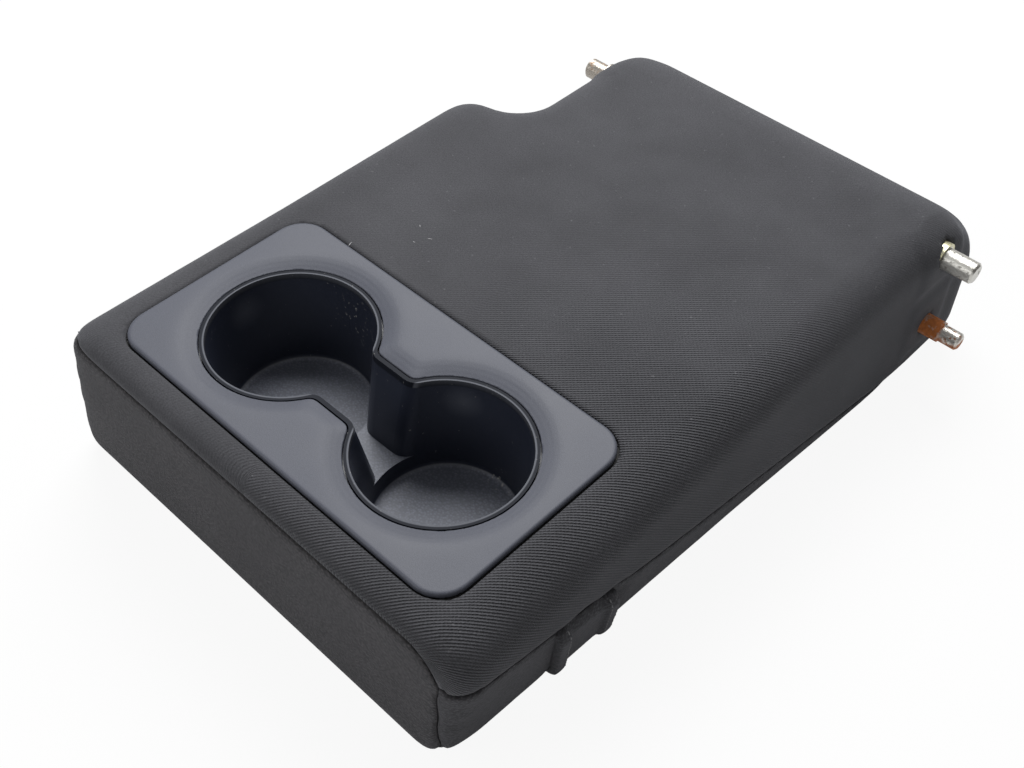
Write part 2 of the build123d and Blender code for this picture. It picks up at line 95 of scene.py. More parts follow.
# %% Camera
PHOTO_WIDTH = 1024
PHOTO_HEIGHT = 768
FOCAL_PIXELS = 1302.24
CAM_TURN = 0.759
CAM_RISE = 0.833
CAM_ROLL = -0.008
CAM_SHIFT = Vector((-0.06184, -0.000278, -0.540287))
level_share = math.cos(CAM_RISE)
cam_back = Vector(
    (
        math.sin(CAM_TURN) * level_share,
        -math.cos(CAM_TURN) * level_share,
        math.sin(CAM_RISE),
    )
)
level_right = Vector((math.cos(CAM_TURN), math.sin(CAM_TURN), 0))
level_up = cam_back.cross(level_right)
cam_x = math.cos(CAM_ROLL) * level_right - math.sin(CAM_ROLL) * level_up
cam_y = math.sin(CAM_ROLL) * level_right + math.cos(CAM_ROLL) * level_up
cam_place = bezel_centre - (cam_x * CAM_SHIFT.x + cam_y * CAM_SHIFT.y + cam_back * CAM_SHIFT.z)
camera_data = bpy.data.cameras.new("photo_camera")
camera_data.sensor_width = 36.0
camera_data.lens = FOCAL_PIXELS * camera_data.sensor_width / PHOTO_WIDTH
camera_data.clip_start = 0.01
camera = bpy.data.objects.new("photo_camera", camera_data)
axes = Matrix((cam_x, cam_y, cam_back)).transposed().to_4x4()
camera.matrix_world = Matrix.Translation(cam_place) @ axes
scene = bpy.context.scene
scene.collection.objects.link(camera)
scene.camera = camera
print("camera at", cam_place, "lens", camera_data.lens)

# %% [markdown]
# ## From a pixel to a place
# Dust, residue and lint lie where the picture shows them. Their places could be typed in as
# metres, but a pixel is easier to read off. A ray from the camera through that pixel is followed
# to a level plane or to a solid, and the mark lands where it was seen.


# %% Follow a pixel's ray
def tree_of(*names):
    """A search tree over the faces of some solids."""
    bm = bmesh.new()
    for name in names:
        bm.from_mesh(nodes[name].data)
    tree = BVHTree.FromBMesh(bm)
    bm.free()
    return tree


def at_pixel(pixel, height):
    """Where a pixel's ray meets a level plane."""
    right = pixel[0] - PHOTO_WIDTH / 2
    up = PHOTO_HEIGHT / 2 - pixel[1]
    ray = cam_x * right + cam_y * up - cam_back * FOCAL_PIXELS
    return cam_place + ray * ((height - cam_place.z) / ray.z)


def seen_at(pixel, name):
    """The place on a solid that a pixel shows."""
    return tree_of(name).ray_cast(cam_place, at_pixel(pixel, 0.0) - cam_place)[0]


NEAR_FLOOR_PIXEL = (440, 500)
print("the near cup's floor is at", seen_at(NEAR_FLOOR_PIXEL, "cup_tub"))

# %% [markdown]
# ## A short way to write materials
# Every finish is a small tree of nodes on the piece's own coordinates. The nodes could be added
# and linked one by one, which takes pages. These helpers add a node, set its sockets and link
# it in one line, so that a material reads like a recipe.


# %% Material helpers
class Finish:
    """A material being written, with its tree and its main shader."""

    def __init__(self, name):
        self.mat = bpy.data.materials.new(name)
        self.mat.use_nodes = True
        self.tree = self.mat.node_tree
        self.shader = self.tree.nodes["Principled BSDF"]
        self.place = self.tree.nodes.new("ShaderNodeTexCoord").outputs["Object"]

    def node(self, kind, links=None, **values):
        made = self.tree.nodes.new("ShaderNode" + kind)
        for name, value in values.items():
            setattr(made, name, value)
        for name, value in (links or {}).items():
            socket = made.inputs[name]
            if isinstance(value, bpy.types.NodeSocket):
                self.tree.links.new(value, socket)
            else:
                socket.default_value = value
        return made

    def axes(self):
        """The X, Y and Z of the piece's own coordinates."""
        return self.node("SeparateXYZ", {0: self.place}).outputs

    def noise(self, scale, detail=2.0):
        links = {"Vector": self.place, "Scale": scale, "Detail": detail}
        return self.node("TexNoise", links).outputs["Fac"]

    def cells(self, scale):
        return self.node("TexVoronoi", {"Vector": self.place, "Scale": scale}).outputs["Distance"]

    def math(self, operation, a, b=0.0):
        return self.node("Math", {0: a, 1: b}, operation=operation).outputs[0]

    def times(self, a, b):
        return self.math("MULTIPLY", a, b)

    def band(self, value, low, high, start=0.0, end=1.0):
        """A value taken from one range to another, and held at the ends."""
        links = {"Value": value, "From Min": low, "From Max": high, "To Min": start, "To Max": end}
        return self.node("MapRange", links, clamp=True).outputs["Result"]

    def distance(self, spot):
        links = {0: self.place, 1: spot}
        return self.node("VectorMath", links, operation="DISTANCE").outputs["Value"]

    def scaled(self, tone, level):
        return self.node("VectorMath", {0: tone, "Scale": level}, operation="SCALE").outputs[0]

    def blend(self, share, first, second):
        made = self.node("Mix", data_type="RGBA")
        for index, value in ((0, share), (6, first), (7, second)):
            if isinstance(value, bpy.types.NodeSocket):
                self.tree.links.new(value, made.inputs[index])
            elif index:
                made.inputs[index].default_value = (*value, 1.0)
            else:
                made.inputs[index].default_value = value
        return made.outputs[2]

    def set(self, **values):
        for name, value in values.items():
            socket = self.shader.inputs[name.replace("_", " ")]
            if isinstance(value, bpy.types.NodeSocket):
                self.tree.links.new(value, socket)
            elif isinstance(value, tuple):
                socket.default_value = (*value, 1.0)
            else:
                socket.default_value = value

    def bump(self, height, strength, distance):
        links = {"Height": height, "Strength": strength, "Distance": distance}
        self.set(Normal=self.node("Bump", links).outputs["Normal"])


print("material helpers ready")

# %% [markdown]
# ## Light
# The armrest was photographed in soft daylight. One broad lamp behind it on the left skims the
# ribs and a weaker one fills the near side. The world gives the rest: it lights the object
# weakly, and is plain white where the camera looks straight at it.

# %% World and lamps
ROOM_LIGHT = 0.26
MIDDLE = (0, 0, 0.05)
scene.view_settings.view_transform = "Standard"
world = bpy.data.worlds.new("soft_room")
scene.world = world
world.use_nodes = True
sky = world.node_tree.nodes["Background"]
sky.inputs["Color"].default_value = (1.0, 1.0, 1.0, 1.0)
path = world.node_tree.nodes.new("ShaderNodeLightPath")
white = world.node_tree.nodes.new("ShaderNodeMapRange")
white.inputs["To Min"].default_value = ROOM_LIGHT
white.inputs["To Max"].default_value = 1.0
world.node_tree.links.new(path.outputs["Is Camera Ray"], white.inputs["Value"])
world.node_tree.links.new(white.outputs["Result"], sky.inputs["Strength"])


def lamp(name, place, size, power):
    """A square lamp that faces the middle of the object."""
    data = bpy.data.lights.new(name, "AREA")
    data.shape = "SQUARE"
    data.size = size
    data.energy = power
    thing = bpy.data.objects.new(name, data)
    thing.location = place
    thing.rotation_mode = "QUATERNION"
    thing.rotation_quaternion = (Vector(place) - Vector(MIDDLE)).to_track_quat("Z", "Y")
    scene.collection.objects.link(thing)
    print(name, "at", place)


lamp("window_lamp", (-0.55, 0.60, 1.30), 1.0, 33.0)
lamp("near_lamp", (-0.55, -1.25, 0.85), 0.9, 6.0)

# %% [markdown]
# ## The white table
# The table in the picture is so bright that only a faint shadow is left on it. A very strong lamp
# would do that and spoil the object. Here the table mostly glows for the rays that see it, and
# stays a plain matt white for the light that it sends back onto the object.

# %% White table
TABLE_REACH = 6.0
TABLE_DROP = 0.0002
GLOW_SHARE = 0.92


def white_table():
    paint = Finish("white_table")
    paint.set(Base_Color=(0.72, 0.72, 0.72), Roughness=0.8, Specular_IOR_Level=0.1)
    rays = paint.node("LightPath").outputs
    seen = paint.math("MAXIMUM", rays["Is Camera Ray"], rays["Is Glossy Ray"])
    seen = paint.math("MAXIMUM", seen, rays["Is Transmission Ray"])
    glow = paint.node("Emission", {"Strength": 1.0}).outputs[0]
    links = {"Fac": paint.times(seen, GLOW_SHARE), 1: paint.shader.outputs[0], 2: glow}
    mix = paint.node("MixShader", links).outputs[0]
    paint.tree.links.new(mix, paint.tree.nodes["Material Output"].inputs["Surface"])
    return paint.mat


table_mesh = bpy.data.meshes.new("table")
bm = bmesh.new()
bmesh.ops.create_grid(bm, x_segments=1, y_segments=1, size=TABLE_REACH)
bmesh.ops.translate(bm, verts=bm.verts, vec=(0, 0, -TABLE_DROP))
bm.to_mesh(table_mesh)
bm.free()
table = bpy.data.objects.new("table", table_mesh)
scene.collection.objects.link(table)
table_mesh.materials.append(white_table())
table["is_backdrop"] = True
print("table ready")

# %% [markdown]
# ## The ribbed cloth
# The top is a dark woven cloth with fine ribs that run aslant. Ribs this fine could be modelled,
# at millions of faces, so they are waves in the finish. They follow the cloth round the pad's
# edges because the waves read a flat layout of the panel, and not its place in space. Wear has
# flattened them towards the rear and down the sides, so they fade there. Their pale crests and
# dark valleys are painted highlight and painted shade, strongest at the right where the light
# grazes.

# %% Ribbed cloth
RIB_PITCH = 0.00124
THREAD_PITCH = 0.0015
RIB_TURN = math.radians(45)
ONE_WAVE = 0.31416
# The valley tone is painted shade and the crest tone is painted highlight.
RIB_VALLEY_SHADE = (0.040, 0.0402, 0.0445)
RIB_CREST_HIGHLIGHT = (0.069, 0.0695, 0.0765)
RIB_LINT = (0.18, 0.18, 0.19)
SHEEN_TINT = (0.85, 0.87, 0.95)


def waves(cloth, place, pitch, direction, stray, fine):
    """Parallel bands, one to a pitch, that stray a little from straight."""
    links = {"Vector": place, "Scale": ONE_WAVE / pitch, "Distortion": stray}
    links.update({"Detail": 1.0, "Detail Scale": fine})
    return cloth.node("TexWave", links, bands_direction=direction).outputs["Fac"]


def crispness(cloth):
    """How clear the ribs are, from worn flat at the rear to proud at the right, where the light
    grazes them and their painted shade and highlight are strongest.
    """
    where = cloth.axes()
    rubbed = cloth.band(where["Y"], -0.06, 0.08, 1.0, 0.08)
    # The ribs' painted shade and highlight, and their bump, grow towards the right, where the light
    # grazes them.
    proud_and_grazing_light = cloth.band(where["X"], -0.02, 0.10, 0.12, 1.9)
    upper = cloth.band(where["Z"], 0.068, 0.088, 0.2, 1.0)
    return cloth.times(cloth.times(rubbed, proud_and_grazing_light), upper)


def ribbed_cloth():
    cloth = Finish("ribbed_cloth")
    flat = cloth.node("UVMap", uv_map="weave").outputs["UV"]
    turned = cloth.node("Mapping", {"Vector": flat, "Rotation": (0, 0, RIB_TURN)})
    aslant = turned.outputs["Vector"]
    ribs = waves(cloth, aslant, RIB_PITCH, "X", 0.7, 3.0)
    threads = waves(cloth, aslant, THREAD_PITCH, "Y", 1.5, 4.0)
    relief = cloth.times(cloth.math("SUBTRACT", ribs, 0.5), crispness(cloth))
    fuzz = cloth.noise(1500.0)
    # The ribs' tone is painted shade in the valleys and painted highlight on the crests.
    tone = cloth.blend(cloth.math("ADD", relief, 0.5), RIB_VALLEY_SHADE, RIB_CREST_HIGHLIGHT)
    mottle = cloth.band(cloth.noise(26.0, 4.0), 0.3, 0.7, 0.86, 1.1)
    toned = cloth.scaled(tone, cloth.times(mottle, cloth.band(fuzz, 0.3, 0.7, 0.8, 1.2)))
    lint = cloth.times(cloth.band(cloth.noise(420.0), 0.70, 0.76), 0.3)
    cloth.set(Base_Color=cloth.blend(lint, toned, RIB_LINT))
    height = cloth.times(relief, cloth.band(threads, 0.0, 1.0, 0.4, 1.0))
    cloth.bump(cloth.math("ADD", height, cloth.times(fuzz, 0.4)), 0.9, 0.0005)
    cloth.set(Roughness=0.88, Specular_IOR_Level=0.2)
    cloth.set(Sheen_Weight=0.12, Sheen_Roughness=0.45, Sheen_Tint=SHEEN_TINT)
    return cloth.mat


rib_finish = ribbed_cloth()
print("finish", rib_finish.name)

# %% [markdown]
# ## The plain cloth
# The front, the underside and the strap are a smoother knit of the same charcoal. A weave could
# be drawn for it too, but its loops are too small to line up, so small cells stand for the loops
# and slow noise for the places where it is rubbed.

# %% Plain cloth
PLAIN_LINT = (0.15, 0.15, 0.16)
LOOP_SHADE = 0.40


def plain_cloth(name, tone):
    cloth = Finish(name)
    loops = cloth.cells(760.0)
    fuzz = cloth.noise(1700.0)
    deep = tuple(LOOP_SHADE * part for part in tone)
    base = cloth.blend(cloth.band(loops, 0.1, 0.7), tone, deep)
    rubbed = cloth.band(cloth.noise(22.0, 4.0), 0.3, 0.7, 0.82, 1.15)
    toned = cloth.scaled(base, cloth.times(rubbed, cloth.band(fuzz, 0.3, 0.7, 0.65, 1.35)))
    lint = cloth.times(cloth.band(cloth.noise(380.0), 0.71, 0.77), 0.3)
    cloth.set(Base_Color=cloth.blend(lint, toned, PLAIN_LINT))
    cloth.bump(cloth.math("SUBTRACT", fuzz, loops), 0.6, 0.00032)
    cloth.set(Roughness=0.9, Specular_IOR_Level=0.2)
    cloth.set(Sheen_Weight=0.15, Sheen_Roughness=0.5, Sheen_Tint=SHEEN_TINT)
    return cloth.mat


front_finish = plain_cloth("front_cloth", (0.062, 0.0585, 0.061))
under_finish = plain_cloth("under_cloth", (0.054, 0.052, 0.057))
strap_finish = plain_cloth("strap_cloth", (0.058, 0.057, 0.063))
print("finishes", front_finish.name, under_finish.name, strap_finish.name)

# %% [markdown]
# ## The bezel's plastic
# The bezel is satin grey plastic with a fine moulded grain. One flat grey would look like paper,
# so a very fine noise gives the grain and a slow one lets tone and shine drift a little.

# %% Bezel plastic
BEZEL_DARK = (0.066, 0.0705, 0.089)
BEZEL_PALE = (0.077, 0.082, 0.103)


def bezel_plastic():
    shell = Finish("bezel_plastic")
    grain = shell.noise(2600.0, 3.0)
    cloud = shell.noise(14.0, 3.0)
    tone = shell.blend(shell.band(cloud, 0.3, 0.7), BEZEL_DARK, BEZEL_PALE)
    shell.set(Base_Color=shell.scaled(tone, shell.band(grain, 0.3, 0.7, 0.85, 1.15)))
    shell.set(Roughness=shell.band(cloud, 0.3, 0.7, 0.46, 0.56), Specular_IOR_Level=0.28)
    shell.bump(grain, 0.25, 0.0002)
    return shell.mat


bezel_finish = bezel_plastic()
print("finish", bezel_finish.name)

# %% [markdown]
# ## The tub's plastic
# The tub is one moulding, dark and glossy on its walls, with a fine pebble on the floors and on
# the saddle between the cups. It could be cut up to take several materials. Instead one material
# asks each point how high it lies, which way it faces and how far it is from a cup's axis.

# %% Tub: floors and rim
CUP_X = 0.047
FLOOR_EDGE = 0.0333
RIM_EDGE = 0.0377
FLOOR_PALE = (0.200, 0.215, 0.262)
FLOOR_DARK = (0.128, 0.138, 0.171)
# The pale line at the floor's edge is a painted highlight on its rounded edge.
FLOOR_EDGE_HIGHLIGHT = (0.30, 0.31, 0.34)
RIM_TONE = (0.010, 0.012, 0.018)
# The pale line on the dark rim is a painted highlight on its rounded edge.
RIM_LINE_HIGHLIGHT = (0.20, 0.21, 0.24)


def from_cup_axis(shell, where):
    """How far a point is from the nearer cup's axis."""
    from_axis = shell.math("SUBTRACT", shell.math("ABSOLUTE", where["X"]), CUP_X)
    from_middle = shell.math("SUBTRACT", where["Y"], cup_y)
    squares = (shell.math("POWER", from_axis, 2.0), shell.math("POWER", from_middle, 2.0))
    return shell.math("SQRT", shell.math("ADD", *squares))


def ring(shell, radius, edge, core, reach, strength):
    """A thin line round a cup's axis that fades to both sides."""
    off = shell.math("ABSOLUTE", shell.math("SUBTRACT", radius, edge))
    return shell.band(off, core, reach, strength, 0.0)


def tub_floors(shell, height, radius, pebble):
    tone = shell.blend(shell.band(pebble, 0.0, 0.6), FLOOR_PALE, FLOOR_DARK)
    # The edge line is a painted highlight along the floor's rounded edge.
    edge = ring(shell, radius, FLOOR_EDGE, 0.0003, 0.0008, 0.55)
    edge = shell.times(edge, shell.band(height, 0.046, 0.047, 1.0, 0.0))
    return shell.blend(edge, tone, FLOOR_EDGE_HIGHLIGHT)


def tub_rim(shell, radius, rim):
    # A painted highlight along the rounded rim.
    rim_highlight = shell.times(ring(shell, radius, RIM_EDGE, 0.0002, 0.0006, 0.5), rim)
    return shell.blend(rim_highlight, RIM_TONE, RIM_LINE_HIGHLIGHT)


print("floor and rim recipes ready")

# %% Tub: walls and dirt
WALL_TONE = (0.022, 0.026, 0.041)
# The pale tone and its places are a painted highlight where each cup's glossy wall reflects the
# light.
WALL_HIGHLIGHT_TONE = (0.105, 0.113, 0.135)
DIRT_TONE = (0.38, 0.37, 0.35)
WALL_HIGHLIGHT_PIXELS = ((246, 312), (463, 402))
DUST_PIXEL = (360, 322)
RESIDUE_PIXEL = (500, 483)


def tub_walls(shell):
    """Dark walls, with a painted highlight in one spot in each cup."""
    # The rubbed share is a painted highlight: a soft pale spot where the wall reflects the light.
    rubbed = 0.0
    for pixel in WALL_HIGHLIGHT_PIXELS:
        off = shell.distance(seen_at(pixel, "cup_tub"))
        rubbed = shell.math("ADD", rubbed, shell.band(off, 0.001, 0.010, 0.5, 0.0))
    return shell.blend(rubbed, WALL_TONE, WALL_HIGHLIGHT_TONE)


def tub_dirt(shell):
    """Dust on the far cup's wall, residue on the near cup's floor, and loose specks."""
    specks = shell.band(shell.noise(520.0), 0.62, 0.68)
    by_dust = shell.distance(seen_at(DUST_PIXEL, "cup_tub"))
    dust = shell.times(specks, shell.band(by_dust, 0.004, 0.016, 0.6, 0.0))
    by_residue = shell.distance(seen_at(RESIDUE_PIXEL, "cup_tub"))
    residue = shell.times(specks, shell.band(by_residue, 0.003, 0.009, 0.8, 0.0))
    loose = shell.times(shell.band(shell.noise(700.0, 1.0), 0.75, 0.79), 0.35)
    return shell.math("MAXIMUM", loose, shell.math("MAXIMUM", dust, residue))


print("wall and dirt recipes ready")


# %% Tub plastic
def tub_plastic():
    shell = Finish("tub_plastic")
    where = shell.axes()
    normal = shell.node("NewGeometry").outputs["Normal"]
    facing = shell.node("SeparateXYZ", {0: normal}).outputs["Z"]
    low_down = shell.band(where["Z"], 0.058, 0.060, 1.0, 0.0)
    floor = shell.times(shell.band(facing, 0.6, 0.9), low_down)
    rim = shell.band(where["Z"], 0.0912, 0.0922)
    radius = from_cup_axis(shell, where)
    pebble = shell.cells(820.0)
    tone = shell.blend(floor, tub_walls(shell), tub_floors(shell, where["Z"], radius, pebble))
    tone = shell.blend(rim, tone, tub_rim(shell, radius, rim))
    shell.set(Base_Color=shell.blend(tub_dirt(shell), tone, DIRT_TONE))
    rough = shell.band(floor, 0.0, 1.0, 0.33, 0.5)
    shell.set(Roughness=shell.math("MAXIMUM", rough, shell.times(rim, 0.6)))
    shell.set(Specular_IOR_Level=shell.band(rim, 0.0, 1.0, 0.45, 0.12))
    stones = shell.times(shell.math("SUBTRACT", 1.0, pebble), floor)
    ripple = shell.times(shell.noise(900.0), 0.12)
    shell.bump(shell.math("ADD", ripple, stones), 0.45, 0.0003)
    return shell.mat


tub_finish = tub_plastic()
print("finish", tub_finish.name)

# %% [markdown]
# ## Steel that has been out in the damp
# The pins are zinc plated. The pivots are dull with dark specks, and the stop pins have rusted
# where the plating wore through: all round the thick half, and underneath at the tip. Rust could
# be painted on, but a place along the pin and a ragged noise put it where damp would.

# %% Zinc, with rust up to a place along the pin
RUST_BRIGHT = (0.72, 0.24, 0.06)
RUST_DARK = (0.34, 0.105, 0.035)
DULL_SPOT = (0.20, 0.19, 0.17)
RAGGED = 0.007
FOOT_EDGE = 0.0007
BELOW_EDGE = 0.001


def zinc(name, tone, rust_reach=0.0, rust_under=0.0, spot_tone=DULL_SPOT):
    steel = Finish(name)
    where = steel.axes()
    ragged = steel.times(steel.math("SUBTRACT", steel.noise(260.0, 4.0), 0.5), RAGGED)
    out = steel.math("ADD", steel.math("ABSOLUTE", where["X"]), ragged)
    foot = steel.band(out, rust_reach - FOOT_EDGE, rust_reach + FOOT_EDGE, 1.0, 0.0)
    worn = steel.times(steel.band(steel.noise(330.0, 3.0), 0.56, 0.64), 0.45)
    foot = steel.math("SUBTRACT", foot, steel.times(foot, worn))
    height = steel.math("ADD", where["Z"], ragged)
    below = steel.band(height, rust_under - BELOW_EDGE, rust_under + BELOW_EDGE, 0.85, 0.0)
    rusty = steel.math("MAXIMUM", foot, below)
    spots = steel.band(steel.noise(420.0, 3.0), 0.56, 0.66)
    rust = steel.blend(steel.noise(520.0, 4.0), RUST_BRIGHT, RUST_DARK)
    steel.set(Base_Color=steel.blend(rusty, steel.blend(spots, tone, spot_tone), rust))
    dull = steel.math("MAXIMUM", rusty, steel.times(spots, 0.6))
    steel.set(Metallic=steel.band(dull, 0.0, 1.0, 0.85, 0.0))
    steel.set(Roughness=steel.band(dull, 0.0, 1.0, 0.36, 0.9))
    flakes = steel.times(rusty, steel.noise(500.0, 4.0))
    steel.bump(steel.math("ADD", steel.noise(900.0, 3.0), flakes), 0.4, 0.0004)
    return steel.mat


# %% The pins, the bushes and the screws
STOP_TONE = (0.58, 0.56, 0.52)
RUST_SPOT = (0.34, 0.14, 0.06)
RUST_LEVEL = 0.0345
RIGHT_FOOT = 0.0108
LEFT_FOOT = 0.0070
right_rust = SIDE_X + RIGHT_FOOT
left_rust = -LEFT_REAR_X + LEFT_FOOT
pivot_finish = zinc("pivot_zinc", (0.60, 0.59, 0.55))
left_pivot_finish = zinc("left_pivot_zinc", (0.36, 0.33, 0.29), spot_tone=(0.30, 0.19, 0.12))
stop_right_finish = zinc("stop_zinc_right", STOP_TONE, right_rust, RUST_LEVEL, RUST_SPOT)
stop_left_finish = zinc("stop_zinc_left", STOP_TONE, left_rust, RUST_LEVEL, RUST_SPOT)
bush_finish = zinc("bush_yellow_zinc", (0.58, 0.55, 0.36))
screw_finish = zinc("screw_zinc", (0.55, 0.55, 0.54))
print("rust reaches", right_rust, "on the right and", left_rust, "on the left")

# %% [markdown]
# ## What lies inside
# The frame is coated steel, the pad is moulded foam and the cover is shut by drawn plastic
# strips. None of it shows from outside, so plain grey would do. Each still gets a simple finish
# of its own, because someone may lift the cover off.


# %% Coated steel, foam and strips inside
def coated_steel():
    coat = Finish("frame_steel")
    peel = coat.noise(700.0, 3.0)
    worn = coat.band(coat.noise(90.0, 4.0), 0.66, 0.72)
    coat.set(Base_Color=coat.blend(worn, (0.022, 0.022, 0.024), (0.10, 0.075, 0.06)))
    coat.set(Roughness=coat.band(peel, 0.3, 0.7, 0.38, 0.55))
    coat.bump(peel, 0.3, 0.0003)
    return coat.mat


def pad_foam():
    foam = Finish("pad_foam")
    pores = foam.cells(700.0)
    depth = foam.band(pores, 0.1, 0.6)
    foam.set(Base_Color=foam.blend(depth, (0.020, 0.020, 0.021), (0.045, 0.045, 0.046)))
    foam.set(Roughness=foam.band(foam.noise(40.0, 3.0), 0.3, 0.7, 0.85, 0.98))
    foam.bump(pores, 0.6, 0.0006)
    return foam.mat


def strip_plastic():
    strip = Finish("strip_plastic")
    drawn = {"Vector": strip.place, "Scale": 500.0, "Distortion": 1.0}
    lines = strip.node("TexWave", drawn, bands_direction="Y").outputs["Fac"]
    strip.set(Base_Color=strip.blend(lines, (0.030, 0.030, 0.032), (0.042, 0.042, 0.044)))
    strip.set(Roughness=strip.band(strip.noise(60.0), 0.3, 0.7, 0.45, 0.6))
    strip.bump(lines, 0.15, 0.0002)
    return strip.mat


coat_finish = coated_steel()
foam_finish = pad_foam()
strip_finish = strip_plastic()
print("finishes", coat_finish.name, foam_finish.name, strip_finish.name)

# %% [markdown]
# ## Dressing the solids
# The tub, the metal and the pieces inside already have their true shapes. They could be rebuilt
# with finer edges, but little would show, so the solids stay and only their materials change.

# %% Give the solids their finishes
FRAME_PIECES = ("frame_rod", "cross_rod", "rear_cross_tube", "mount_tabs")
HINGE_PLATES = ("hinge_plate_right", "hinge_plate_left")


def dress(finish, *names):
    for name in names:
        data = nodes[name].data
        data.materials.clear()
        data.materials.append(finish)
    print(finish.name, "on", ", ".join(names))


dress(tub_finish, "cup_tub")
dress(pivot_finish, "pivot_pin_right")
dress(left_pivot_finish, "pivot_pin_left", "pivot_bush_left")
dress(stop_right_finish, "stop_pin_right")
dress(stop_left_finish, "stop_pin_left")
dress(bush_finish, "pivot_bush_right")
dress(screw_finish, "tub_screws")
dress(coat_finish, *FRAME_PIECES, *HINGE_PLATES)
dress(foam_finish, "foam_pad")
dress(strip_finish, "closing_strip_front", "closing_strip_rear")

# %% [markdown]
# ## The stuffed form under the cover
# The cover takes its shape from the moulded foam. It could be drawn panel by panel, but then the
# panels would hardly meet. So a copy of the foam has its pockets stopped with blocks and is
# remeshed into one even skin, which is swollen first and cut into panels later.

# %% Helpers for copies of solids
WELD = 0.000002


def solid_copy(name):
    """A solid's mesh with its split points welded."""
    bm = bmesh.new()
    bm.from_mesh(nodes[name].data)
    bmesh.ops.remove_doubles(bm, verts=bm.verts, dist=WELD)
    return bm


def apply_modifiers(thing):
    graph = bpy.context.evaluated_depsgraph_get()
    made = bpy.data.meshes.new_from_object(thing.evaluated_get(graph))
    thing.modifiers.clear()
    thing.data = made


def remesh_evenly(thing, size):
    even = thing.modifiers.new("even_skin", "REMESH")
    even.mode = "VOXEL"
    even.voxel_size = size
    apply_modifiers(thing)


def even_out(bm, times, factor=0.5):
    axes = {"use_axis_x": True, "use_axis_y": True, "use_axis_z": True}
    for _ in range(times):
        bmesh.ops.smooth_vert(bm, verts=bm.verts, factor=factor, **axes)
    bm.normal_update()


def middle_of(name):
    low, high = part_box(name)
    return (low.y + high.y) / 2, (low.z + high.z) / 2


hinge_y, pivot_z = middle_of("pivot_pin_right")
stop_z = middle_of("stop_pin_right")[1]
print("hinge at", hinge_y, "pivot", pivot_z, "stop", stop_z)

# %% Copy the foam, stop its pockets and remesh it
VOXEL = 0.0044
CUP_BLOCK_X = 0.0975
CUP_BLOCK_Y = 0.0528
CUP_BLOCK_FOOT = 0.028
TOP_SKIN = 0.0031
PIN_BLOCK = 0.010
PIVOT_BLOCK_TOP = 0.0085
PIVOT_SKIN = 0.0065
STOP_SKIN = 0.0033
PLATE_RIGHT = 0.098
PLATE_LEFT = -0.064
CLOSING_LEFT = -0.069
CLOSING_RIGHT = 0.105
CLOSING_HALF = 0.011
CLOSING_FOOT = 0.0032
CLOSING_TOP = 0.012


def stop_box(bm, low, high):
    low, high = Vector(low), Vector(high)
    made = bmesh.ops.create_cube(bm, size=1.0)["verts"]
    bmesh.ops.scale(bm, verts=made, vec=high - low)
    bmesh.ops.translate(bm, verts=made, vec=(low + high) / 2)


bm = solid_copy("foam_pad")
stop_box(
    bm,
    (-CUP_BLOCK_X, cup_y - CUP_BLOCK_Y, CUP_BLOCK_FOOT),
    (CUP_BLOCK_X, cup_y + CUP_BLOCK_Y, top_z - TOP_SKIN),
)
for side, plate, out in ((SIDE_X, PLATE_RIGHT, 1), (LEFT_REAR_X, PLATE_LEFT, -1)):
    for z, skin, above in ((pivot_z, PIVOT_SKIN, PIVOT_BLOCK_TOP), (stop_z, STOP_SKIN, PIN_BLOCK)):
        ends = sorted((plate, side - out * skin))
        low = (ends[0], hinge_y - PIN_BLOCK, z - PIN_BLOCK)
        stop_box(bm, low, (ends[1], hinge_y + PIN_BLOCK, z + above))
stop_box(
    bm,
    (CLOSING_LEFT, seam_end_y - CLOSING_HALF, CLOSING_FOOT),
    (CLOSING_RIGHT, seam_end_y + CLOSING_HALF, CLOSING_TOP),
)
form_mesh = bpy.data.meshes.new("stuffed_form")
bm.to_mesh(form_mesh)
bm.free()
form = bpy.data.objects.new("stuffed_form", form_mesh)
scene.collection.objects.link(form)
remesh_evenly(form, VOXEL)
print("even skin with", len(form.data.vertices), "points")

# %% [markdown]
# ## Growing the skin
# The cover lies outside the foam by its own thickness. The skin could just be pushed out along
# its normals, but its corners would drift, so each point is sent along its normal to the cover's
# solid and stops there. Real stuffing isn't as even as a solid: some corners and sides are a few
# millimetres fuller, and those are moved by given amounts.

# %% Grow the skin out to the cover's face
SKIN_GROWTH = 0.0024
SKIN_BACK = 0.0006
RAY_START = 0.009
RAY_REACH = 0.014
FACE_NEAR = 0.005
cover_face = tree_of("cover_top", "cover_front", "cover_under")
bm = bmesh.new()
bm.from_mesh(form.data)
even_out(bm, 3)
places = []
for vert in bm.verts:
    grown = vert.co + vert.normal * SKIN_GROWTH
    hit = cover_face.ray_cast(vert.co + vert.normal * RAY_START, -vert.normal, RAY_REACH)[0]
    if hit and (hit - grown).length < FACE_NEAR:
        grown = hit - vert.normal * SKIN_BACK
    places.append(grown)
for vert, place in zip(bm.verts, places):
    vert.co = place
even_out(bm, 1, 0.25)
print("grown", len(places), "points")

# %% Where the stuffing is fuller
FULLNESS = 0.0012
RIGHT_BOW = 0.0033
BOW_RUN = 0.18
BOW_RISE = 0.12
BOW_TOP = 0.06
CORNER_FULL = 0.0042
CORNER_SLACK = 0.0008
LEFT_FULL = 0.0034
LEFT_LEVEL = 0.050
LEFT_RUN = 0.12
LEFT_FACING = -0.3
REAR_FROM = 0.12
REAR_FACING = 0.1
FRONT_RUN = 0.03
FRONT_FACING = 0.05


def lower_bow(co):
    """How far the right side bows out low down, most of all near the front."""
    share = min(1.0, max(0.0, (co.y - front_y) / BOW_RUN))
    return RIGHT_BOW * min(1.0, share / BOW_RISE) * (1 - share) * max(0.0, 1 - co.z / BOW_TOP)


